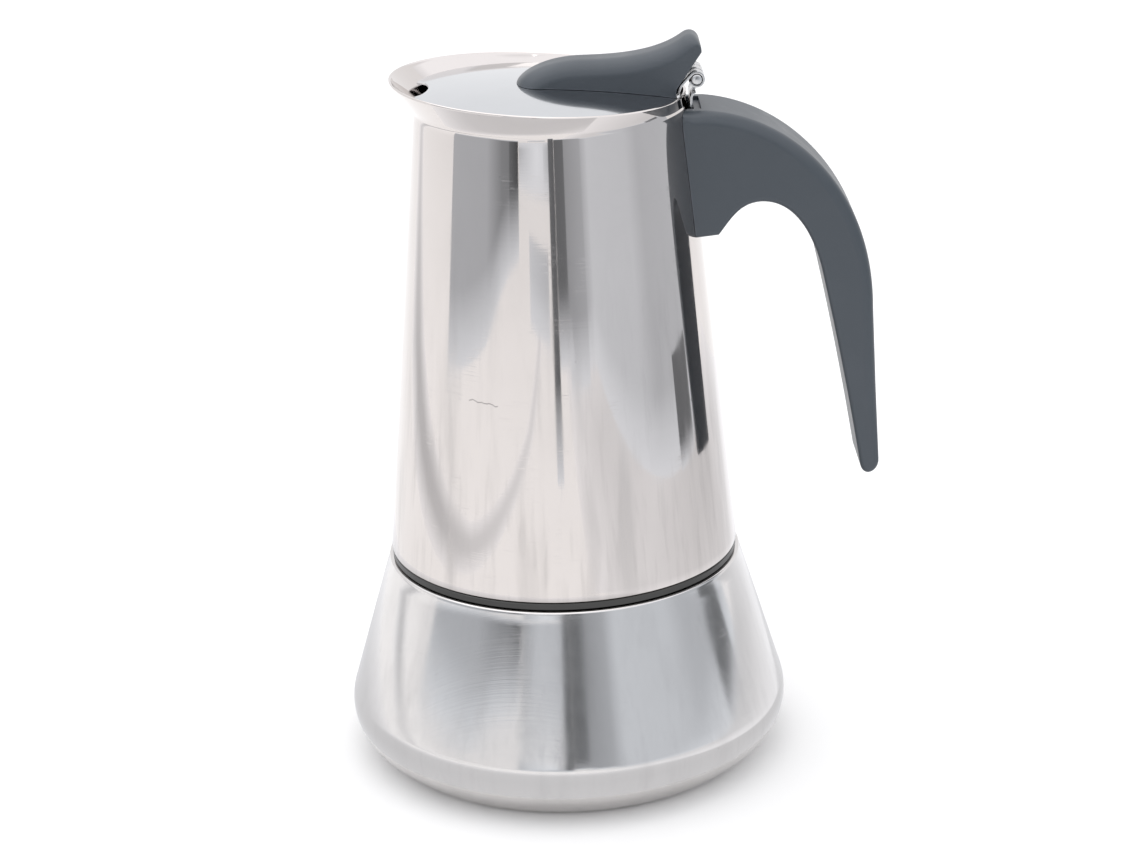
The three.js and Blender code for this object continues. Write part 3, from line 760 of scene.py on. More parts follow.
# %% The steel material
def make_steel(name, colour, roughness, film, lines=0.0, scratch=0.5, anisotropy=0.0, tint=None,
               place=(0, 0, 0), streak_and_shade=0.0, streak_and_shade_top=0.15, marked=False):
    """Steel with turning lines, scratches, handling marks, and upright streaks that are partly painted
    shade.
    """
    material = bpy.data.materials.new(name)
    material.use_nodes = True
    n = Nodes(material.node_tree)
    shader = material.node_tree.nodes["Principled BSDF"]
    coords = n.add("ShaderNodeTexCoord").outputs["Object"]
    moved = n.stretch(coords, (1, 1, 1), (0, 0, 0), place)
    marks = n.add("ShaderNodeGroup", node_tree=handling)
    n.link(moved, marks.inputs["Vector"])
    worn = n.add("ShaderNodeGroup", {"Amount": scratch}, node_tree=scratches)
    n.link(moved, worn.inputs["Vector"])
    turned = n.add("ShaderNodeGroup", node_tree=turning)
    n.link(moved, turned.inputs["Vector"])

    drawn = n.add("ShaderNodeGroup", {"Vector": moved, "Top": streak_and_shade_top}, node_tree=streak_shade_group)
    # The darker colour that wear, and the painted shade near the foot, blend towards.
    worn_and_shaded = [c * 0.86 for c in (tint or colour)]
    tone = n.plus(n.times(marks.outputs["Film"], 0.25),
                  n.times(n.math("MAXIMUM", worn.outputs["Mask"], marks.outputs["Specks"]), 0.6))
    # The streak tone darkens the base colour: real streaks, and painted shade towards the foot.
    tone = n.plus(tone, n.times(drawn.outputs["Tone"], streak_and_shade), clamp=True)
    shade = n.blend(tone, (*colour, 1), (*worn_and_shaded, 1))
    if marked:
        mark = n.add("ShaderNodeGroup", {"Vector": coords}, node_tree=hairline).outputs["Mask"]
        shade = n.blend(n.times(mark, 0.7), shade, (0.16, 0.15, 0.15, 1))
    n.link(shade, shader.inputs["Base Color"])

    rough = n.plus(roughness, n.times(marks.outputs["Film"], film))
    rough = n.plus(rough, n.times(worn.outputs["Mask"], 0.25))
    rough = n.plus(rough, n.times(n.minus(turned.outputs["Tone"], 0.5), lines * 0.12))
    rough = n.plus(rough, n.times(drawn.outputs["Tone"], streak_and_shade * 0.12))
    n.link(n.math("MAXIMUM", rough, 0.02), shader.inputs["Roughness"])

    relief = n.minus(n.times(turned.outputs["Height"], lines),
                    n.times(worn.outputs["Mask"], 0.8))
    bump = n.add("ShaderNodeBump", {"Strength": 0.06, "Distance": 0.0002, "Height": relief})
    n.link(bump.outputs["Normal"], shader.inputs["Normal"])
    shader.inputs["Metallic"].default_value = 1.0
    if anisotropy:
        around = n.add("ShaderNodeTangent", direction_type="RADIAL", axis="Z")
        n.link(around.outputs[0], shader.inputs["Tangent"])
        shader.inputs["Anisotropic"].default_value = anisotropy
    print("material", name)
    return material


mirror_steel = make_steel("mirror_steel", (0.665, 0.625, 0.605), 0.035, 0.04, lines=0.1, scratch=0.4,
                          anisotropy=0.35, streak_and_shade=1.3, streak_and_shade_top=0.17, marked=True)
lid_steel = make_steel("lid_steel", (0.61, 0.622, 0.64), 0.07, 0.05, lines=0.15, scratch=0.6,
                       place=(0.3, 0.1, 0))
boiler_steel = make_steel("boiler_steel", (0.675, 0.655, 0.645), 0.10, 0.05, lines=0.45, scratch=0.35,
                          anisotropy=0.5, place=(0.1, 0.5, 0.2), streak_and_shade=0.5, streak_and_shade_top=0.4)
inner_steel = make_steel("inner_steel", (0.72, 0.70, 0.66), 0.24, 0.08, lines=1.0, scratch=0.4,
                         anisotropy=0.5, place=(0.7, 0.2, 0.4))
# The collar's near-black base colour is painted shade: it stands for the shaded recess of the seam between
# the collector and the boiler, not for a dark steel.
collar_steel = make_steel("collar_steel", (0.075, 0.074, 0.072), 0.3, 0.1, lines=1.0, scratch=0.5,
                          anisotropy=0.4, place=(0.2, 0.9, 0.3))
hinge_steel = make_steel("hinge_steel", (0.56, 0.56, 0.565), 0.18, 0.1, lines=0.0, scratch=0.7,
                         place=(0.6, 0.3, 0.8))
brass_metal = make_steel("brass_metal", (0.78, 0.58, 0.27), 0.2, 0.15, lines=0.8, scratch=0.5,
                         tint=(0.6, 0.38, 0.15), place=(0.4, 0.4, 0.1))

# %% [markdown]
# ### The plastic and the seal


# %% Moulded plastic
def make_plastic(name, colour, worn_colour, roughness):
    """Dark moulded plastic with grain, a greasy sheen and paler worn edges."""
    material = bpy.data.materials.new(name)
    material.use_nodes = True
    n = Nodes(material.node_tree)
    shader = material.node_tree.nodes["Principled BSDF"]
    coords = n.add("ShaderNodeTexCoord").outputs["Object"]
    grain = n.add("ShaderNodeGroup", node_tree=grain_group)
    marks = n.add("ShaderNodeGroup", node_tree=handling)
    worn = n.add("ShaderNodeGroup", {"Amount": 0.4}, node_tree=scratches)
    edge = n.add("ShaderNodeGroup", {"Width": 0.0007}, node_tree=edges_group)
    for group in (grain, marks, worn):
        n.link(coords, group.inputs["Vector"])
    patchy = n.times(n.ramp(n.noise(coords, 260, 3.0), 0.35, 0.65), edge.outputs["Mask"])
    wear = n.plus(n.times(patchy, 0.35), n.times(worn.outputs["Mask"], 0.25))
    share = n.plus(wear, n.times(n.minus(grain.outputs["Tone"], 0.5), 0.2),
                   clamp=True)
    n.link(n.blend(share, (*colour, 1), (*worn_colour, 1)), shader.inputs["Base Color"])
    rough = n.minus(roughness, n.times(marks.outputs["Film"], 0.12))
    n.link(n.plus(rough, n.times(wear, 0.2)), shader.inputs["Roughness"])
    relief = n.minus(grain.outputs["Height"], n.times(worn.outputs["Mask"], 0.5))
    bump = n.add("ShaderNodeBump", {"Strength": 0.16, "Distance": 0.0002, "Height": relief})
    n.link(bump.outputs["Normal"], shader.inputs["Normal"])
    shader.inputs["Specular IOR Level"].default_value = 0.66
    shader.inputs["Specular Tint"].default_value = (0.97, 0.96, 1.0, 1)
    print("material", name)
    return material


slate_plastic = make_plastic("slate_plastic", (0.035, 0.047, 0.058), (0.12, 0.13, 0.155), 0.40)
seal_rubber = make_plastic("seal_rubber", (0.76, 0.74, 0.69), (0.85, 0.83, 0.8), 0.55)

# %% [markdown]
# ## The boiler
#
# The boiler is spun and satin-finished. Its outline is a flat foot, a tight arc under the belly, a
# second arc over it and a straight flank that leans in by 16.8 degrees. The wall is 1.1 mm thick, and the
# neck carries a real helical thread: the profile's rows are pushed out where the helix passes.

# %% Thread helper
THREAD_PITCH = 2.6
THREAD_START = 59.8


def thread_swell(angle, z, first, last, height, half_width):
    """How far a helical ridge stands out at this angle and height. It fades at both ends."""
    climb = (z - first) / THREAD_PITCH - angle / (2 * math.pi)
    nearest = abs(climb - round(climb)) * THREAD_PITCH
    ridge = max(0.0, 1 - nearest / half_width)
    fade = min(1.0, max(0.0, (z - first + 0.6) / 0.8)) * min(1.0, max(0.0, (last - z) / 0.8))
    return height * min(1.0, 1.25 * ridge) * fade


def boiler_neck(x, y, z):
    """Pushes the neck's rows out where the thread passes."""
    radius = math.hypot(x, y)
    if abs(radius - NECK_R) > 0.01 or not 57.5 < z < 66.2:
        return x, y, z
    scale = 1 + thread_swell(math.atan2(y, x), z, THREAD_START - 0.6, 65.8, 0.7, 0.85) / radius
    return x * scale, y * scale, z


# %% Boiler
NECK_R = 42.4
NECK_BORE = 40.4
FLANK_LEAN = math.tan(math.radians(16.8))


def boiler_arcs(inset):
    """The two arcs under and over the belly, moved inwards by `inset`."""
    return (arc((47.2, 9.3), 9.3 - inset, -90, -46.4, 10)
            + arc((47.15, 14.1), 12.85 - inset, -46.4, 16.8, 22)[1:])


def flank_radius(z):
    """The outside radius of the straight flank at this height."""
    return 47.7 + (56.7 - z) * FLANK_LEAN


outside = [(0, 0.45), (38.5, 0.45), (40.5, 0.28), (42, 0.05), (43, 0)] + boiler_arcs(0)
flank_top = (flank_radius(55.7), 55.7)
outside += straight(outside[-1], flank_top, 14)
shoulder = arc((flank_top[0] - 0.75, 55.98), 0.7, 18, 88, 6)
neck_rows = [(NECK_R, 56.9)] + [(NECK_R, 57.4 + 0.2 * i) for i in range(44)] + [(NECK_R, 66.4)]
lip = arc((NECK_R - 0.4, 66.4), 0.4, 0, 90, 3)[1:] + arc((NECK_BORE + 0.4, 66.4), 0.4, 90, 180, 3)
inner = [(NECK_BORE, 57.2), (NECK_BORE + 0.6, 56.0), (NECK_BORE + 1.6, 55.6), (45.2, 55.4)]
inner += [(flank_radius(54.4) - 1.1, 54.4)] + boiler_arcs(1.1)[::-1] + [(42, 1.1), (0, 1.5)]
boiler = make_mesh("boiler_shell", *spin(
    outside + shoulder + [(NECK_R + 0.6, 56.7), (NECK_R + 0.15, 56.75)] + neck_rows + lip + inner,
    move=boiler_neck,
))

VALVE_SEAT = Vector((0, flank_radius(38.0), 38.0))
VALVE_TURN = Vector((0, 0, 1)).rotation_difference(
    Vector((0, math.cos(math.radians(16.8)), math.sin(math.radians(16.8))))).to_matrix()


def at_valve(x, y, z):
    """Moves a point from the valve's own axes into the frame."""
    return tuple(VALVE_SEAT + VALVE_TURN @ Vector((x, y, z)))


def rod_points(radius, z0, z1, steps=64, move=None):
    """A plain rod as points and faces."""
    return spin([(0, z0), (radius, z0), (radius, z1), (0, z1)], steps, move)


def upright_rod(name, x, y, radius, z0, z1, steps):
    """A rod that stands at x, y."""
    rod = make_mesh(name, *rod_points(radius, z0, z1, steps))
    rod.data.transform(Matrix.Translation((x * MM, y * MM, 0)))
    return rod


cut(boiler,
    make_mesh("valve_hole", *rod_points(4.9, -6, 6, 48, at_valve)),
    make_mesh("valve_spot_face", *rod_points(9.2, -0.3, 6, 96, at_valve)))
finish_piece(boiler, boiler_steel, "boiler", ["boiler"], 28)

# %% [markdown]
# ## The safety valve
#
# A brass valve sits square to the flank at the back: a hexagon with chamfered corners, a round cap,
# a spring inside and the tip of the plunger, which can be pressed.

# %% Safety valve
def hexagon(across, z0, z1, chamfer=0.7):
    """A hexagonal nut with its corners turned off, as points and faces. `across` is corner radius."""
    rings = []
    for z, cap in ((z0, chamfer), (z0 + chamfer * 0.6, 0), (z1 - chamfer * 0.6, 0), (z1, chamfer)):
        ring_points = []
        for i in range(72):
            angle = 2 * math.pi * i / 72
            turn_angle = (angle + math.pi / 6) % (math.pi / 3) - math.pi / 6
            flat = across * math.cos(math.pi / 6) / math.cos(turn_angle)
            reach = min(flat, across - cap)
            ring_points.append((reach * math.cos(angle), reach * math.sin(angle), z))
        rings.append(ring_points)
    return loft(rings)


def place(shape, move):
    """Moves a shape's points."""
    verts, faces = shape
    return [move(*v) for v in verts], faces


valve = make_mesh("valve_brass", *place(hexagon(8.2, 1.3, 4.0), at_valve))
stem = make_mesh("valve_stem", *rod_points(4.6, -9, 3, 64, at_valve))
cap_profile = [(0, 3), (6, 3)] + arc((5.5, 7.0), 0.5, 0, 90, 4) + [(0, 7.5)]
cap = make_mesh("valve_cap", *spin(cap_profile, 64, at_valve))
combine(valve, "UNION", (stem, cap))
bore = [(0, -10), (1.8, -10), (1.8, -4.1), (3.5, -2.4), (3.5, 8.5), (0, 8.5)]
cut(valve, make_mesh("valve_bore", *spin(bore, 48, at_valve)))
finish_piece(valve, brass_metal, "boiler", ["valve_body"], 25)

nut = make_mesh("valve_nut_inside", *place(hexagon(7.4, -6.4, -3.4), at_valve))
cut(nut, make_mesh("nut_bore", *rod_points(4.85, -8, 0, 48, at_valve)))
finish_piece(nut, brass_metal, "boiler", ["valve_nut"], 25)

washer = [(4.9, 0.15), (5.05, 0), (7.6, 0), (7.8, 0.2), (7.8, 0.8), (7.6, 1), (5.05, 1), (4.9, 0.85)]
washer_obj = make_mesh("valve_seal", *spin(washer, 64, at_valve))
finish_piece(washer_obj, seal_rubber, "boiler", ["valve_washer"], 50)

clip = [(1.6, 6.1), (3.2, 6.1), (3.2, 6.9), (1.6, 6.9)]
clip_obj = make_mesh("valve_clip_ring", *spin(clip, 48, at_valve))
finish_piece(clip_obj, hinge_steel, "boiler", ["valve_clip"], 30)

plunger = [(0, -3.6), (1.5, -3.6), (3, -2.1), (3, -0.4), (1.2, -0.4), (1.2, 10.1), (0.8, 10.5), (0, 10.5)]
plunger_obj = make_mesh("plunger_pin", *spin(plunger, 48, at_valve))
finish_piece(plunger_obj, hinge_steel, "plunger", ["valve_plunger"], 30)


def coil(radius, wire, turns, z0, z1, move):
    """A helical spring as points and faces."""
    rings = []
    steps = turns * 32
    for i in range(steps + 1):
        angle = 2 * math.pi * turns * i / steps
        centre_z = z0 + (z1 - z0) * i / steps
        ring_points = []
        for k in range(10):
            around = 2 * math.pi * k / 10
            reach = radius + wire * math.cos(around)
            ring_points.append(move(reach * math.cos(angle), reach * math.sin(angle),
                                    centre_z + wire * math.sin(around)))
        rings.append(ring_points)
    return loft(rings)


spring = fix_normals(make_mesh("spring_coil", *coil(2.4, 0.33, 4, 0.3, 4, at_valve)))
finish_piece(spring, hinge_steel, "plunger", ["valve_spring"], 40)

# %% [markdown]
# ## The funnel and the filters
#
# The funnel drops into the boiler: a spun basket on a long tube. The screens start as flat outlines
# with many small round holes, which are given thickness.

# %% Perforated screens
def screen(name, radius, z, thick, hole_radius, spacing, keep):
    """A flat disc with rows of holes, made from a filled outline."""
    curve = bpy.data.curves.new(name, "CURVE")
    curve.dimensions = "2D"
    curve.fill_mode = "BOTH"
    curve.extrude = thick / 2 * MM
    circles = [(0, 0, radius, 128)]
    rows = int(radius / (spacing * 0.866)) + 1
    for row in range(-rows, rows + 1):
        for column in range(-rows, rows + 1):
            hx = (column + 0.5 * (row % 2)) * spacing
            hy = row * spacing * 0.866
            if math.hypot(hx, hy) < keep:
                circles.append((hx, hy, hole_radius, 12))
    for cx, cy, r, steps in circles:
        spline = curve.splines.new("POLY")
        spline.points.add(steps - 1)
        for i, point in enumerate(spline.points):
            angle = 2 * math.pi * i / steps
            point.co = ((cx + r * math.cos(angle)) * MM, (cy + r * math.sin(angle)) * MM, 0, 1)
        spline.use_cyclic_u = True
    source = bpy.data.objects.new(name + "_outline", curve)
    scene.collection.objects.link(source)
    graph = bpy.context.evaluated_depsgraph_get()
    mesh = bpy.data.meshes.new_from_object(source.evaluated_get(graph))
    bpy.data.objects.remove(source)
    mesh.transform(Matrix.Translation((0, 0, (z + thick / 2) * MM)))
    obj = bpy.data.objects.new(name, mesh)
    scene.collection.objects.link(obj)
    weld = bmesh.new()
    weld.from_mesh(obj.data)
    bmesh.ops.remove_doubles(weld, verts=weld.verts, dist=1e-6)
    bmesh.ops.recalc_face_normals(weld, faces=weld.faces)
    weld.to_mesh(obj.data)
    weld.free()
    print(name, "holes:", len(circles) - 1)
    return obj


# %% Funnel, screens and seal
FUNNEL_TOP = box_mm("funnel")[1][2]
funnel = [(3.8, 6.2), (4.0, 6.0), (4.4, 6.0), (4.6, 6.2)] + [(4.6, 29)]
funnel += bezier((4.6, 29), (4.6, 32), (5, 32.6), (8, 33.6), 8, 1)
funnel += [(34.0, 39.0)] + arc((34.0, 41.4), 2.4, -70, 0, 8) + [(36.4, FUNNEL_TOP - 1.5)]
funnel += arc((37.1, FUNNEL_TOP - 1.5), 0.7, 180, 90, 4)[1:] + [(41.9, FUNNEL_TOP - 0.8)]
funnel += [(42.2, FUNNEL_TOP - 0.6), (42.2, FUNNEL_TOP - 0.2), (41.9, FUNNEL_TOP), (36.6, FUNNEL_TOP)]
funnel += arc((36.8, FUNNEL_TOP - 1.2), 1.2, 90, 180, 4) + [(35.6, 41.8)]
funnel += arc((33.9, 41.8), 1.7, 0, -70, 6)[1:] + [(8, 34.4)]
funnel += bezier((8, 34.4), (4.6, 33.4), (3.8, 32.6), (3.8, 29), 8, 1)
funnel_obj = make_mesh("funnel_sheet", *spin(funnel))
finish_piece(funnel_obj, inner_steel, "funnel", ["funnel"], 35)

SCREEN_Z = box_mm("funnel_screen")[0][2]
basket = screen("basket_screen", 35.3, SCREEN_Z, 0.6, 0.55, 2.6, 31)
finish_piece(basket, inner_steel, "funnel", ["funnel_screen"], 30)
PLATE_Z = box_mm("filter_plate")[0][2]
plate = screen("filter_disc", 34.2, PLATE_Z, 1.4, 0.5, 2.4, 28)
finish_piece(plate, inner_steel, "seal", ["filter_plate"], 30)

GASKET_LOW, GASKET_HIGH = (box_mm("gasket")[k][2] for k in (0, 1))
seal = [(34.9, GASKET_LOW), (42.0, GASKET_LOW), (42.4, GASKET_LOW + 0.4), (42.4, GASKET_HIGH - 0.4),
        (42.0, GASKET_HIGH), (38.7, GASKET_HIGH - 0.15), (34.9, GASKET_HIGH), (34.6, GASKET_HIGH - 0.3),
        (34.6, GASKET_LOW + 0.3)]
seal_obj = make_mesh("gasket_ring", *spin(seal))
finish_piece(seal_obj, seal_rubber, "seal", ["gasket"], 50)

# %% [markdown]
# ## The collector
#
# The collector is a tall cone with a flared rim. The rim is set towards the pouring lip and tips up
# there, so every point of the flare is shifted by its share of the way from the neck to the rim.

# %% Thread ring
BARREL_TOP = box_mm("thread_ring")[1][2]
RING_BORE = 44.0


def ring_bore(x, y, z):
    """Pushes the ring's bore in where the thread passes."""
    radius = math.hypot(x, y)
    if abs(radius - RING_BORE) > 0.01 or not 58 < z < 69.5:
        return x, y, z
    swell = thread_swell(math.atan2(y, x) + math.pi, z, 58.6, 68.6, 0.45, 0.8)
    scale = 1 - swell / radius
    return x * scale, y * scale, z


flange = [(RING_BORE + 0.3, FLANGE_BOTTOM), (FLANGE_R - 0.25, FLANGE_BOTTOM),
          (FLANGE_R, FLANGE_BOTTOM + 0.25), (FLANGE_R, 58.55), (FLANGE_R - 0.25, 58.8),
          (44.6, 58.8), (44.6, BARREL_TOP - 0.2),
          (44.4, BARREL_TOP), (RING_BORE + 0.15, BARREL_TOP)]
bore_rows = [(RING_BORE, BARREL_TOP - 0.15)] + [(RING_BORE, 69.6 - 0.25 * i) for i in range(47)]
ring_obj = make_mesh("thread_collar", *spin(flange + bore_rows + [(RING_BORE, 57.3)], move=ring_bore))
# The collar's material carries painted shade for the seam.
finish_piece(ring_obj, collar_steel, "collector", ["thread_ring"], 30)

# %% Collector shell
NECK_Z, CONE_NECK_R, WALL = 179.6, 35.55, 0.8
RIM_R, RIM_Z, RIM_SHIFT = 38.7, 185.4, -3.2
RIM_TILT = math.tan(math.radians(3.8))


def cone_radius(z):
    """The collector's outside radius at this height."""
    return FOOT_R - (FOOT_R - CONE_NECK_R) * (z - 59.1) / (NECK_Z - 59.1)


def lean_rim(x, y, z):
    """Shifts and tips the flare towards the pouring lip."""
    share = max(0.0, (z - NECK_Z) / (RIM_Z - NECK_Z))
    return x + share * RIM_SHIFT, y, z - share * x * RIM_TILT


def flare(inset, steps=20):
    """The outline of the flare from the neck to just under the rim's round edge."""
    points = []
    for i in range(steps + 1):
        share = i / steps * 0.955
        reach = (RIM_R - CONE_NECK_R) * (0.55 * share + 0.45 * share ** 1.6)
        points.append((CONE_NECK_R - inset + reach, NECK_Z + (RIM_Z - NECK_Z) * share))
    return points


foot = [(FOOT_R - WALL + 0.15, FOOT_Z), (FOOT_R - 0.3, FOOT_Z)]
foot += arc((cone_radius(59.4) - 0.3, 59.4), 0.3, -90, 0, 3)[1:]
outer = foot + straight((cone_radius(59.4), 59.4), (cone_radius(NECK_Z - 1.3), NECK_Z - 1.3), 60)
outer_flare = flare(0)
inner_flare = flare(WALL)
bend = bezier((cone_radius(NECK_Z - 1.3), NECK_Z - 1.3), (CONE_NECK_R + 0.05, NECK_Z - 0.4),
              (CONE_NECK_R + 0.05, NECK_Z + 0.3), outer_flare[4], 10, 1)
edge_mid = ((outer_flare[-1][0] + inner_flare[-1][0]) / 2, outer_flare[-1][1])
rim_edge = arc(edge_mid, WALL / 2, 0, 180, 8)[1:-1]
inner_wall = straight((cone_radius(NECK_Z) - WALL, NECK_Z), (cone_radius(FOOT_Z) - WALL, FOOT_Z + 0.15), 40)
shell = outer + bend + outer_flare[5:] + rim_edge + inner_flare[::-1] + inner_wall
collector = make_mesh("collector_shell", *spin(shell, 256, lean_rim))
finish_piece(collector, mirror_steel, "collector", ["collector"], 40)

# %% Floor, chimney and cap
FLOOR_LOW, FLOOR_HIGH = (box_mm("collector_floor")[k][2] for k in (0, 1))
floor_r = outer_radius("collector_floor")
floor = [(30.8, FLOOR_LOW), (floor_r - 0.2, FLOOR_LOW), (floor_r, FLOOR_LOW + 0.2),
         (floor_r, FLOOR_HIGH - 0.2), (floor_r - 0.2, FLOOR_HIGH), (30.8, FLOOR_HIGH)]
floor_obj = make_mesh("collector_base", *spin(floor))
finish_piece(floor_obj, inner_steel, "collector", ["collector_floor"], 30)

CHIMNEY_TOP = box_mm("chimney")[1][2]
chimney = [(24, FLOOR_LOW), (30.2, FLOOR_LOW), (30.4, FLOOR_LOW + 0.2), (30.4, FLOOR_HIGH - 0.2),
           (30.2, FLOOR_HIGH), (25.5, FLOOR_HIGH)]
chimney += bezier((25.5, FLOOR_HIGH), (18, 74.0), (15, 78), (12.6, 84), 10, 1)
chimney += bezier((12.6, 84), (9.5, 92), (6.6, 98), (6.6, 105.5), 10, 1)
chimney += [(6.6, CHIMNEY_TOP - 0.3), (6.3, CHIMNEY_TOP), (4.5, CHIMNEY_TOP), (4.2, CHIMNEY_TOP - 0.3)]
chimney += [(4.2, 104)] + bezier((4.2, 104), (4.6, 97), (8, 90), (11, 82.6), 10, 1)
chimney += bezier((11, 82.6), (13, 77), (16, 73), (22, 72.3), 10, 1)
chimney_obj = make_mesh("chimney_tube", *spin(chimney, 128))
finish_piece(chimney_obj, inner_steel, "collector", ["chimney"], 30)

CAP_LOW = box_mm("chimney_cap")[0][2]
cap_shape = [(6.9, CAP_LOW), (8.2, CAP_LOW), (8.4, CAP_LOW + 0.2), (8.4, CAP_LOW + 10.4)]
cap_shape += bezier((8.4, CAP_LOW + 10.4), (8.4, CAP_LOW + 12.6), (6, CAP_LOW + 13.4),
                    (0, CAP_LOW + 13.55), 10, 1)
cap_shape += [(0, CAP_LOW + 12.2), (4, CAP_LOW + 12), (6.9, CAP_LOW + 10.4)]
cap_obj = make_mesh("chimney_hood", *spin(cap_shape, 96))
for turn_z in (45, 135):
    window = make_mesh("window", *block(-9.4, 9.4, -2, 2, CHIMNEY_TOP + 0.6, CHIMNEY_TOP + 3))
    window.data.transform(Matrix.Rotation(math.radians(turn_z), 4, "Z"))
    cut(cap_obj, window)
finish_piece(cap_obj, inner_steel, "collector", ["chimney_cap"], 30)

# %% [markdown]
# ## The lid
#
# The lid is a disc of sheet with a low dome, a notch over the pouring lip and a slight lean. It is laid
# out in rays from the middle: each ray stops at the rim, or earlier where it meets the notch.

# %% Lid
LID_R, LID_X, LID_Z, LID_DOME, LID_SHEET = 35.0, -1.0, 183.3, 2.1, 0.8
LID_LEAN = math.radians(2.6)
NOTCH_HALF, NOTCH_DEPTH = 9.0, 4.5


def lid_place(x, y, z):
    """From the lid's own level axes into the frame."""
    return (LID_X + x * math.cos(LID_LEAN) + z * math.sin(LID_LEAN), y,
            LID_Z - x * math.sin(LID_LEAN) + z * math.cos(LID_LEAN))


def dome(reach):
    """How far the lid's dome rises at this distance from its middle."""
    return LID_DOME * (1 - (reach / LID_R) ** 2)


def lid_top(x):
    """The height of the lid's upper face over a point on the middle line."""
    flat = x - LID_X
    return LID_Z - flat * math.tan(LID_LEAN) + dome(abs(flat))


def ray_length(angle):
    """How far the lid reaches in this direction, from the middle."""
    dx, dy = math.cos(angle), math.sin(angle)
    a = (dx / NOTCH_DEPTH) ** 2 + (dy / NOTCH_HALF) ** 2
    b = 2 * LID_R * dx / NOTCH_DEPTH ** 2
    c = (LID_R / NOTCH_DEPTH) ** 2 - 1
    under_root = b * b - 4 * a * c
    if dx > 0 or under_root <= 0:
        return LID_R
    return min(LID_R, (-b - math.sqrt(under_root)) / (2 * a))


def lid_rays():
    """Angles round the lid, closer together at the notch."""
    angles = []
    for i in range(360):
        turn_angle = 2 * math.pi * i / 360
        angles.append(turn_angle - 0.55 * math.sin(turn_angle) * 0.8)
    return [math.pi + a for a in angles]


rays = lid_rays()
ring_shares = [0.12, 0.25, 0.4, 0.55, 0.7, 0.82, 0.91, 0.96]
rows = [[(share * ray_length(a), a, dome(share * ray_length(a))) for a in rays] for share in ring_shares]
for back, drop in ((0.32, 0), (0.12, 0.06), (0, 0.3), (0, 0.5), (0.12, 0.74), (0.32, LID_SHEET)):
    rows.append([(ray_length(a) - back, a, dome(ray_length(a) - back) - drop) for a in rays])
for share in ring_shares[::-1]:
    rows.append([(share * ray_length(a), a, dome(share * ray_length(a)) - LID_SHEET) for a in rays])
verts = [lid_place(r * math.cos(a), r * math.sin(a), z) for row in rows for r, a, z in row]
faces = []
for k in range(len(rows) - 1):
    for i in range(360):
        j = (i + 1) % 360
        faces.append((k * 360 + i, (k + 1) * 360 + i, (k + 1) * 360 + j, k * 360 + j))
top_middle, low_middle = len(verts), len(verts) + 1
verts += [lid_place(0, 0, LID_DOME), lid_place(0, 0, LID_DOME - LID_SHEET)]
last = (len(rows) - 1) * 360
faces += [(top_middle, i, (i + 1) % 360) for i in range(360)]
faces += [(low_middle, last + (i + 1) % 360, last + i) for i in range(360)]
lid = fix_normals(make_mesh("lid_disc", verts, faces))
SCREW_XS, RIVET_X, RIVET_Y = (4.0, 20.0), 31.7, 4.0
for hx, hy, radius in [(x, 0, 1.5) for x in SCREW_XS] + [(RIVET_X, y, 1.1) for y in (-RIVET_Y, RIVET_Y)]:
    cut(lid, upright_rod("hole", hx, hy, radius, lid_top(hx) - 4, lid_top(hx) + 4, 32))
finish_piece(lid, lid_steel, "lid", ["lid"], 30)


def lid_cover(clear):
    """A block as deep as the lever with the lid's dome as its top, lifted by `clear`."""
    top = [(LID_R * k / 24, dome(LID_R * k / 24) + clear) for k in range(24, 0, -1)]
    top.append((0, LID_DOME + clear))
    return make_mesh("lid_cover", *spin([(0, -9), (LID_R, -9)] + top, 128, lid_place))


# %% [markdown]
# ## The moulded lever and handle
#
# Both are drawn from the side and then given width. Every ring of points is the same outline, pulled
# in a little near the two faces, which rounds the edges as a mould does. The amount can change along
# the outline: the handle is soft on its outer edge and crisp along the arch.

# %% Slabs with soft edges
def outline_normals(outline):
    """Unit directions that point into the outline, which runs clockwise seen from the camera."""
    count = len(outline)
    area = sum(outline[i - 1][0] * outline[i][1] - outline[i][0] * outline[i - 1][1] for i in range(count))
    side = 1 if area > 0 else -1
    normals = []
    for i in range(count):
        before, here, after = (Vector(outline[k % count]) for k in (i - 1, i, i + 1))
        along = ((here - before).normalized() + (after - here).normalized())
        along = along.normalized() if along.length > 1e-6 else (after - here).normalized()
        normals.append(Vector((-along.y, along.x)) * side)
    return normals


def soft_slab(outline, half, edges, steps=7):
    """A slab as wide as y -half to +half. `edges` is the edge radius at each outline point."""
    normals = outline_normals(outline)
    rings = []
    turns = [90 * k / steps for k in range(steps + 1)]
    for side, angles in ((-1, turns[::-1]), (1, turns)):
        for degrees in angles:
            pull, rise = 1 - math.cos(math.radians(degrees)), math.sin(math.radians(degrees))
            ring_points = []
            for (x, z), normal, edge in zip(outline, normals, edges):
                ring_points.append((x + normal.x * edge * pull, side * (half - edge + edge * rise),
                                    z + normal.y * edge * pull))
            rings.append(ring_points)
    return loft(rings)


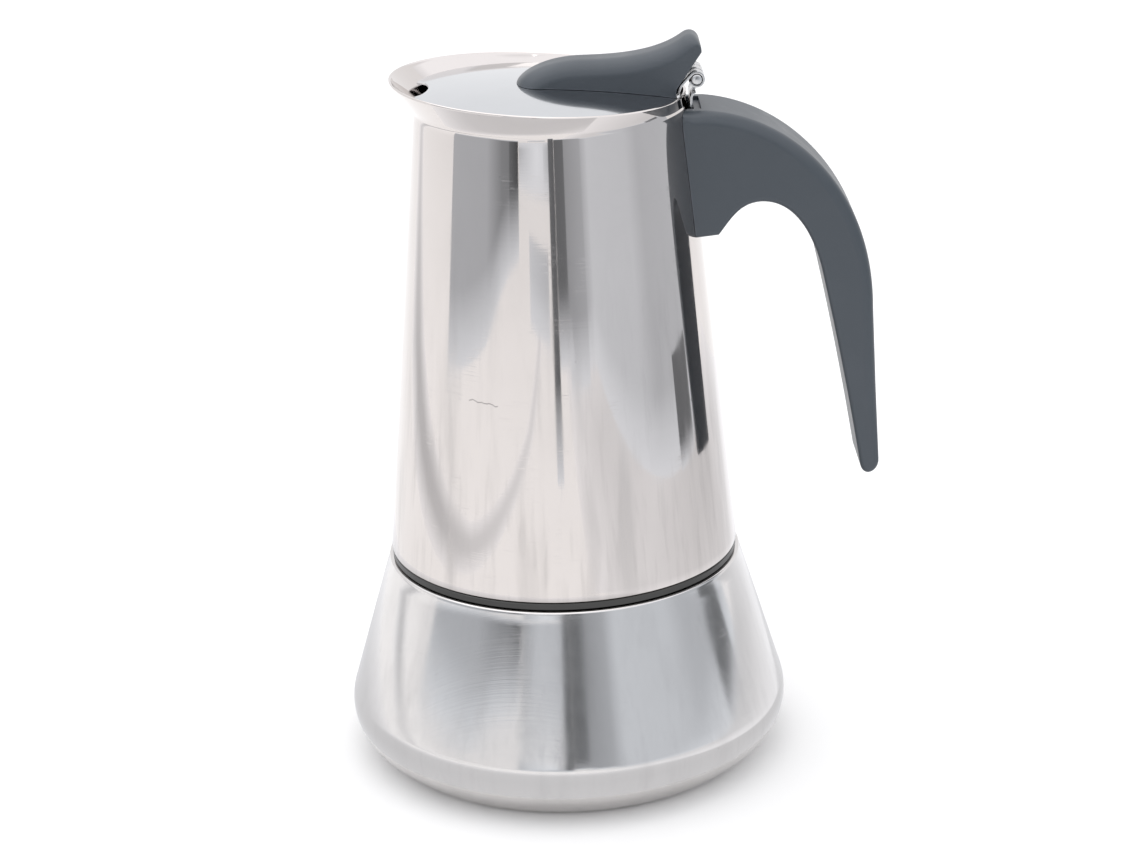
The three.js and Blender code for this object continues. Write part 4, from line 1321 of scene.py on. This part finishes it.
# %% Lever
lever_line = bezier((-8.5, 185.4), (-8.6, 187.6), (-2, 191.9), (9, 191.9), 24)
lever_line += bezier((9, 191.9), (18, 191.9), (28, 192.4), (34.6, 197), 28, 1)
lever_line += bezier((34.6, 197), (37.2, 198.9), (39.6, 196.2), (39.1, 193.6), 16, 1)
HEEL = lever_line[-1]
lever_line += [(32.6, 184.2), (31.4, 172.0), (-8.3, 172.0)]
LEVER_HALF, LEVER_CROWN, CROWN_FLAT = 7.5, 4.2, 2.2
lever_rings = []
for k in range(33):
    y = LEVER_HALF * math.sin(math.radians(-90 + 180 * k / 32))
    share = max(0.0, (abs(y) - CROWN_FLAT) / (LEVER_HALF - CROWN_FLAT))
    drop = LEVER_CROWN * (1 - math.sqrt(1 - share * share))
    ring_points = []
    for x, z in lever_line:
        nose = max(0.0, 1 - (x + 8.5) / 10)
        crowned = min(1.0, max(0.0, (HEEL[0] + 0.4 - x) / 4)) if z > HEEL[1] - 9 else 0.0
        if (x, z) == HEEL:
            crowned = 0.0
        ring_points.append((x + 2.2 * (y / LEVER_HALF) ** 2 * nose, y, z - drop * crowned))
    lever_rings.append(ring_points)
lever = fix_normals(make_mesh("lever_body", *loft(lever_rings)))
slot = make_mesh("slot", *block(29.8, 34, -6.7, 6.7, 176, 184.8))
cut(lever, lid_cover(0.08), slot)
for x in SCREW_XS:
    cut(lever, upright_rod("hole", x, 0, 1.5, lid_top(x) - 4, lid_top(x) + 5.3, 24))
finish_piece(lever, slate_plastic, "lid", ["lid_lever"], 30)
even_shading(lever)

# %% Handle
HANDLE_HALF, TIP_SCALE, ROOT_GAP, ROOT_SCREW_X = 12.5, 0.8, 0.06, 40.9
top_line = [(33.0, 179.0), (36.5, 179.0), (40.0, 179.0)]
top_line += bezier((40, 179), (62, 177), (83.5, 157), (83.6, 124), 44, 1)
top_line += straight((83.6, 124), (85.2, 82), 24)
tip_line = bezier((85.2, 82), (85.3, 78), (81, 76.6), (80.2, 80.5), 18, 1)
arch_line = []
for i in range(1, 31):
    t = i / 30
    arch_line.append(tuple((1 - t) ** 2 * a + 2 * (1 - t) * t * b + t * t * c
                           for a, b, c in zip((80.2, 80.5), (75.5, 110), (69.5, 137))))
arch_line += bezier((69.5, 137), (66, 150), (60, 154.7), (54, 154.7), 18, 1)
arch_line += bezier((54, 154.7), (48, 154.7), (45.5, 149.5), (42.8, 146.3), 14, 1)
root_line = straight((42.8, 146.3), (33, 145.4), 6) + straight((33, 145.4), (33, 179), 12)[:-1]
handle_line = top_line + tip_line + arch_line + root_line
TOP_EDGE, ARCH_EDGE = 3.4, 1.3
handle_edges = []
for i, (x, z) in enumerate(handle_line):
    if i < len(top_line):
        room = min(1.0, max(0.0, (z - 80) / 22)) if x > 80 else 1.0
        handle_edges.append(ARCH_EDGE + (TOP_EDGE - ARCH_EDGE) * room)
    else:
        handle_edges.append(ARCH_EDGE)
verts, faces = soft_slab(handle_line, HANDLE_HALF, handle_edges)
shaped = []
for x, y, z in verts:
    share = min(1.0, max(0.0, (x - 40) / 45))
    shaped.append((x, y * (1 - (1 - TIP_SCALE) * share), z))
handle = fix_normals(make_mesh("handle_body", shaped, faces))
cone_room = [(0, 130), (cone_radius(130) + ROOT_GAP, 130), (CONE_NECK_R + ROOT_GAP, NECK_Z),
             (CONE_NECK_R + ROOT_GAP, 190), (0, 190)]
cone = make_mesh("cone", *spin(cone_room, 256))
recess = make_mesh("recess", *block(30, 38.9, -7.3, 7.3, 178.1, 186))
strap_room = make_mesh("strap_room", *block(30, 37.2, -7.3, 7.3, 175.5, 182))
STRAP_ROOM, SLOT_HALF, TAB_LOW, TAB_HIGH, TAB_END = 1.35, 6.6, 149.0, 149.95, 43.3
slot_line = [(30, TAB_LOW), (TAB_END, TAB_LOW), (TAB_END, TAB_HIGH), (cone_radius(150) + STRAP_ROOM, 150.9),
             (cone_radius(176) + STRAP_ROOM, 176), (30, 176)]
strap_slot = fix_normals(make_mesh("strap_slot", *loft(
    [[(x, y, z) for x, z in slot_line] for y in (-SLOT_HALF, SLOT_HALF)])))
screw_room = upright_rod("screw_room", ROOT_SCREW_X, 0, 2.2, 138, 147.5, 48)
shank_room = upright_rod("shank_room", ROOT_SCREW_X, 0, 1.5, 140, 154.3, 48)
cut(handle, cone, recess, strap_room, strap_slot, screw_room, shank_room)
finish_piece(handle, slate_plastic, "collector", ["handle"], 30)
even_shading(handle)

# %% [markdown]
# ## The hinge
#
# The hinge is bent sheet. The lid's leaf rises from the lid behind the lever and rolls over the pin on
# both sides. The pot's strap comes up out of the handle and rolls round the pin in the middle.

# %% Hinge leaf and strap
PIN_X, PIN_Z, ROLL_R, ROLL_SHEET = PIN_MID[0], PIN_MID[2], 1.83, 0.54


def roll(start, end, steps=26):
    """The rolled end of a hinge leaf, round the pin."""
    return arc((PIN_X, PIN_Z), ROLL_R, start, end, steps)


leaf_path = [(x, lid_top(x) + 0.3 + 0.3) for x in (30.2, 31, 31.8, 32.5)]
leaf_path += bezier((32.5, lid_top(32.5) + 0.6), (33.5, 182.5), (33.3, 184.1), (34.1, 185.02), 10, 1)
leaf_path += straight(leaf_path[-1], (36.56, 187.65), 6)[:-1] + roll(137, -165)
leaf = fix_normals(make_mesh("leaf_sheet", *ribbon(leaf_path, ROLL_SHEET, -6.4, 6.4)))
cut(leaf, make_mesh("gap", *block(33.9, 42, -2.4, 2.4, 183.6, 190)))
round_edges(leaf, 0.1, 50)
finish_piece(leaf, hinge_steel, "lid", ["hinge_leaf"], 40)


def strap_middle(z):
    """The middle of the strap's sheet beside the collector."""
    return max(cone_radius(z), CONE_NECK_R + 0.05) + 0.35 + 0.4


band_path = [(43.0, 149.45), (strap_middle(149.45) + 1.2, 149.45)]
band_path += [(strap_middle(150) + 0.25, 149.7), (strap_middle(150.6), 150.6)]
band_path += straight(band_path[-1], (strap_middle(NECK_Z), NECK_Z), 12)
band_path += [(36.4, 181.2)] + bezier((36.4, 181.2), (36.4, 182.2), (36.7, 182.42), (37.2, 182.96), 6, 1)
band_path += straight(band_path[-1], (39.24, 185.15), 4)[:-1] + roll(-43, 250)
band = fix_normals(make_mesh("strap_sheet", *ribbon(band_path, 0.6, -6.3, 6.3)))
cut(band,
    make_mesh("gap", *block(35, 42, 2.1, 9, 183.0, 190)),
    make_mesh("gap", *block(35, 42, -9, -2.1, 183.0, 190)))
cut(band, upright_rod("tab_hole", ROOT_SCREW_X, 0, 1.5, 145, 153, 32))
round_edges(band, 0.1, 50)
finish_piece(band, hinge_steel, "collector", ["hinge_strap"], 40)

# %% Pin, rivets and screws
def pin_way(x, y, z):
    """Lays a turned piece along the hinge's axis."""
    return PIN_X + x, z, PIN_Z - y


pin_profile = [(0, -6.7), (1.0, -6.7), (1.3, -6.55), (1.4, -6.3),
               (1.4, 6.3), (1.3, 6.55), (1.0, 6.7), (0, 6.7)]
pin = fix_normals(make_mesh("hinge_rod", *spin(pin_profile, 64, pin_way)))
finish_piece(pin, hinge_steel, "collector", ["hinge_pin"], 40)


def headed(name, x, y, head_r, shank_r, bottom, seat, top, dome_height, slot_width=0):
    """A screw or rivet whose round head is underneath, standing at x, y."""
    head = [(0, bottom), (head_r * 0.55, bottom + dome_height * 0.2),
            (head_r * 0.9, bottom + dome_height * 0.75), (head_r, bottom + dome_height),
            (head_r, seat), (shank_r, seat), (shank_r, top - 0.2),
            (shank_r - 0.2, top), (0, top)]
    obj = make_mesh(name, *spin(head, 48))
    if slot_width:
        for a, b in ((head_r * 0.62, slot_width / 2), (slot_width / 2, head_r * 0.62)):
            cut(obj, make_mesh("slot", *block(-a, a, -b, b, bottom - 1, bottom + 0.55)))
    obj.data.transform(Matrix.Translation((x * MM, y * MM, 0)))
    return obj


for i, y in enumerate((-RIVET_Y, RIVET_Y)):
    z = lid_top(RIVET_X)
    rivet = headed(f"leaf_rivet_{i + 1}", RIVET_X, y, 1.6, 0.75, z - 2.2, z - 1.4, z + 0.9, 0.5)
    finish_piece(rivet, hinge_steel, "lid", [f"hinge_rivet_{i + 1}"], 40)
for i, x in enumerate(SCREW_XS):
    z = lid_top(x)
    screw = headed(f"grip_screw_{i + 1}", x, 0, 2.6, 1.2, z - 2.6, z - 1.35, z + 5, 0.7, 0.7)
    finish_piece(screw, hinge_steel, "lid", [f"lever_screw_{i + 1}"], 40)
screw_low, screw_high = box_mm("handle_screw")
screw = headed("root_screw", ROOT_SCREW_X, 0, 1.9, 1.2, screw_low[2], screw_low[2] + 1.2,
               screw_high[2], 0.5, 0.6)
finish_piece(screw, hinge_steel, "collector", ["handle_screw"], 40)
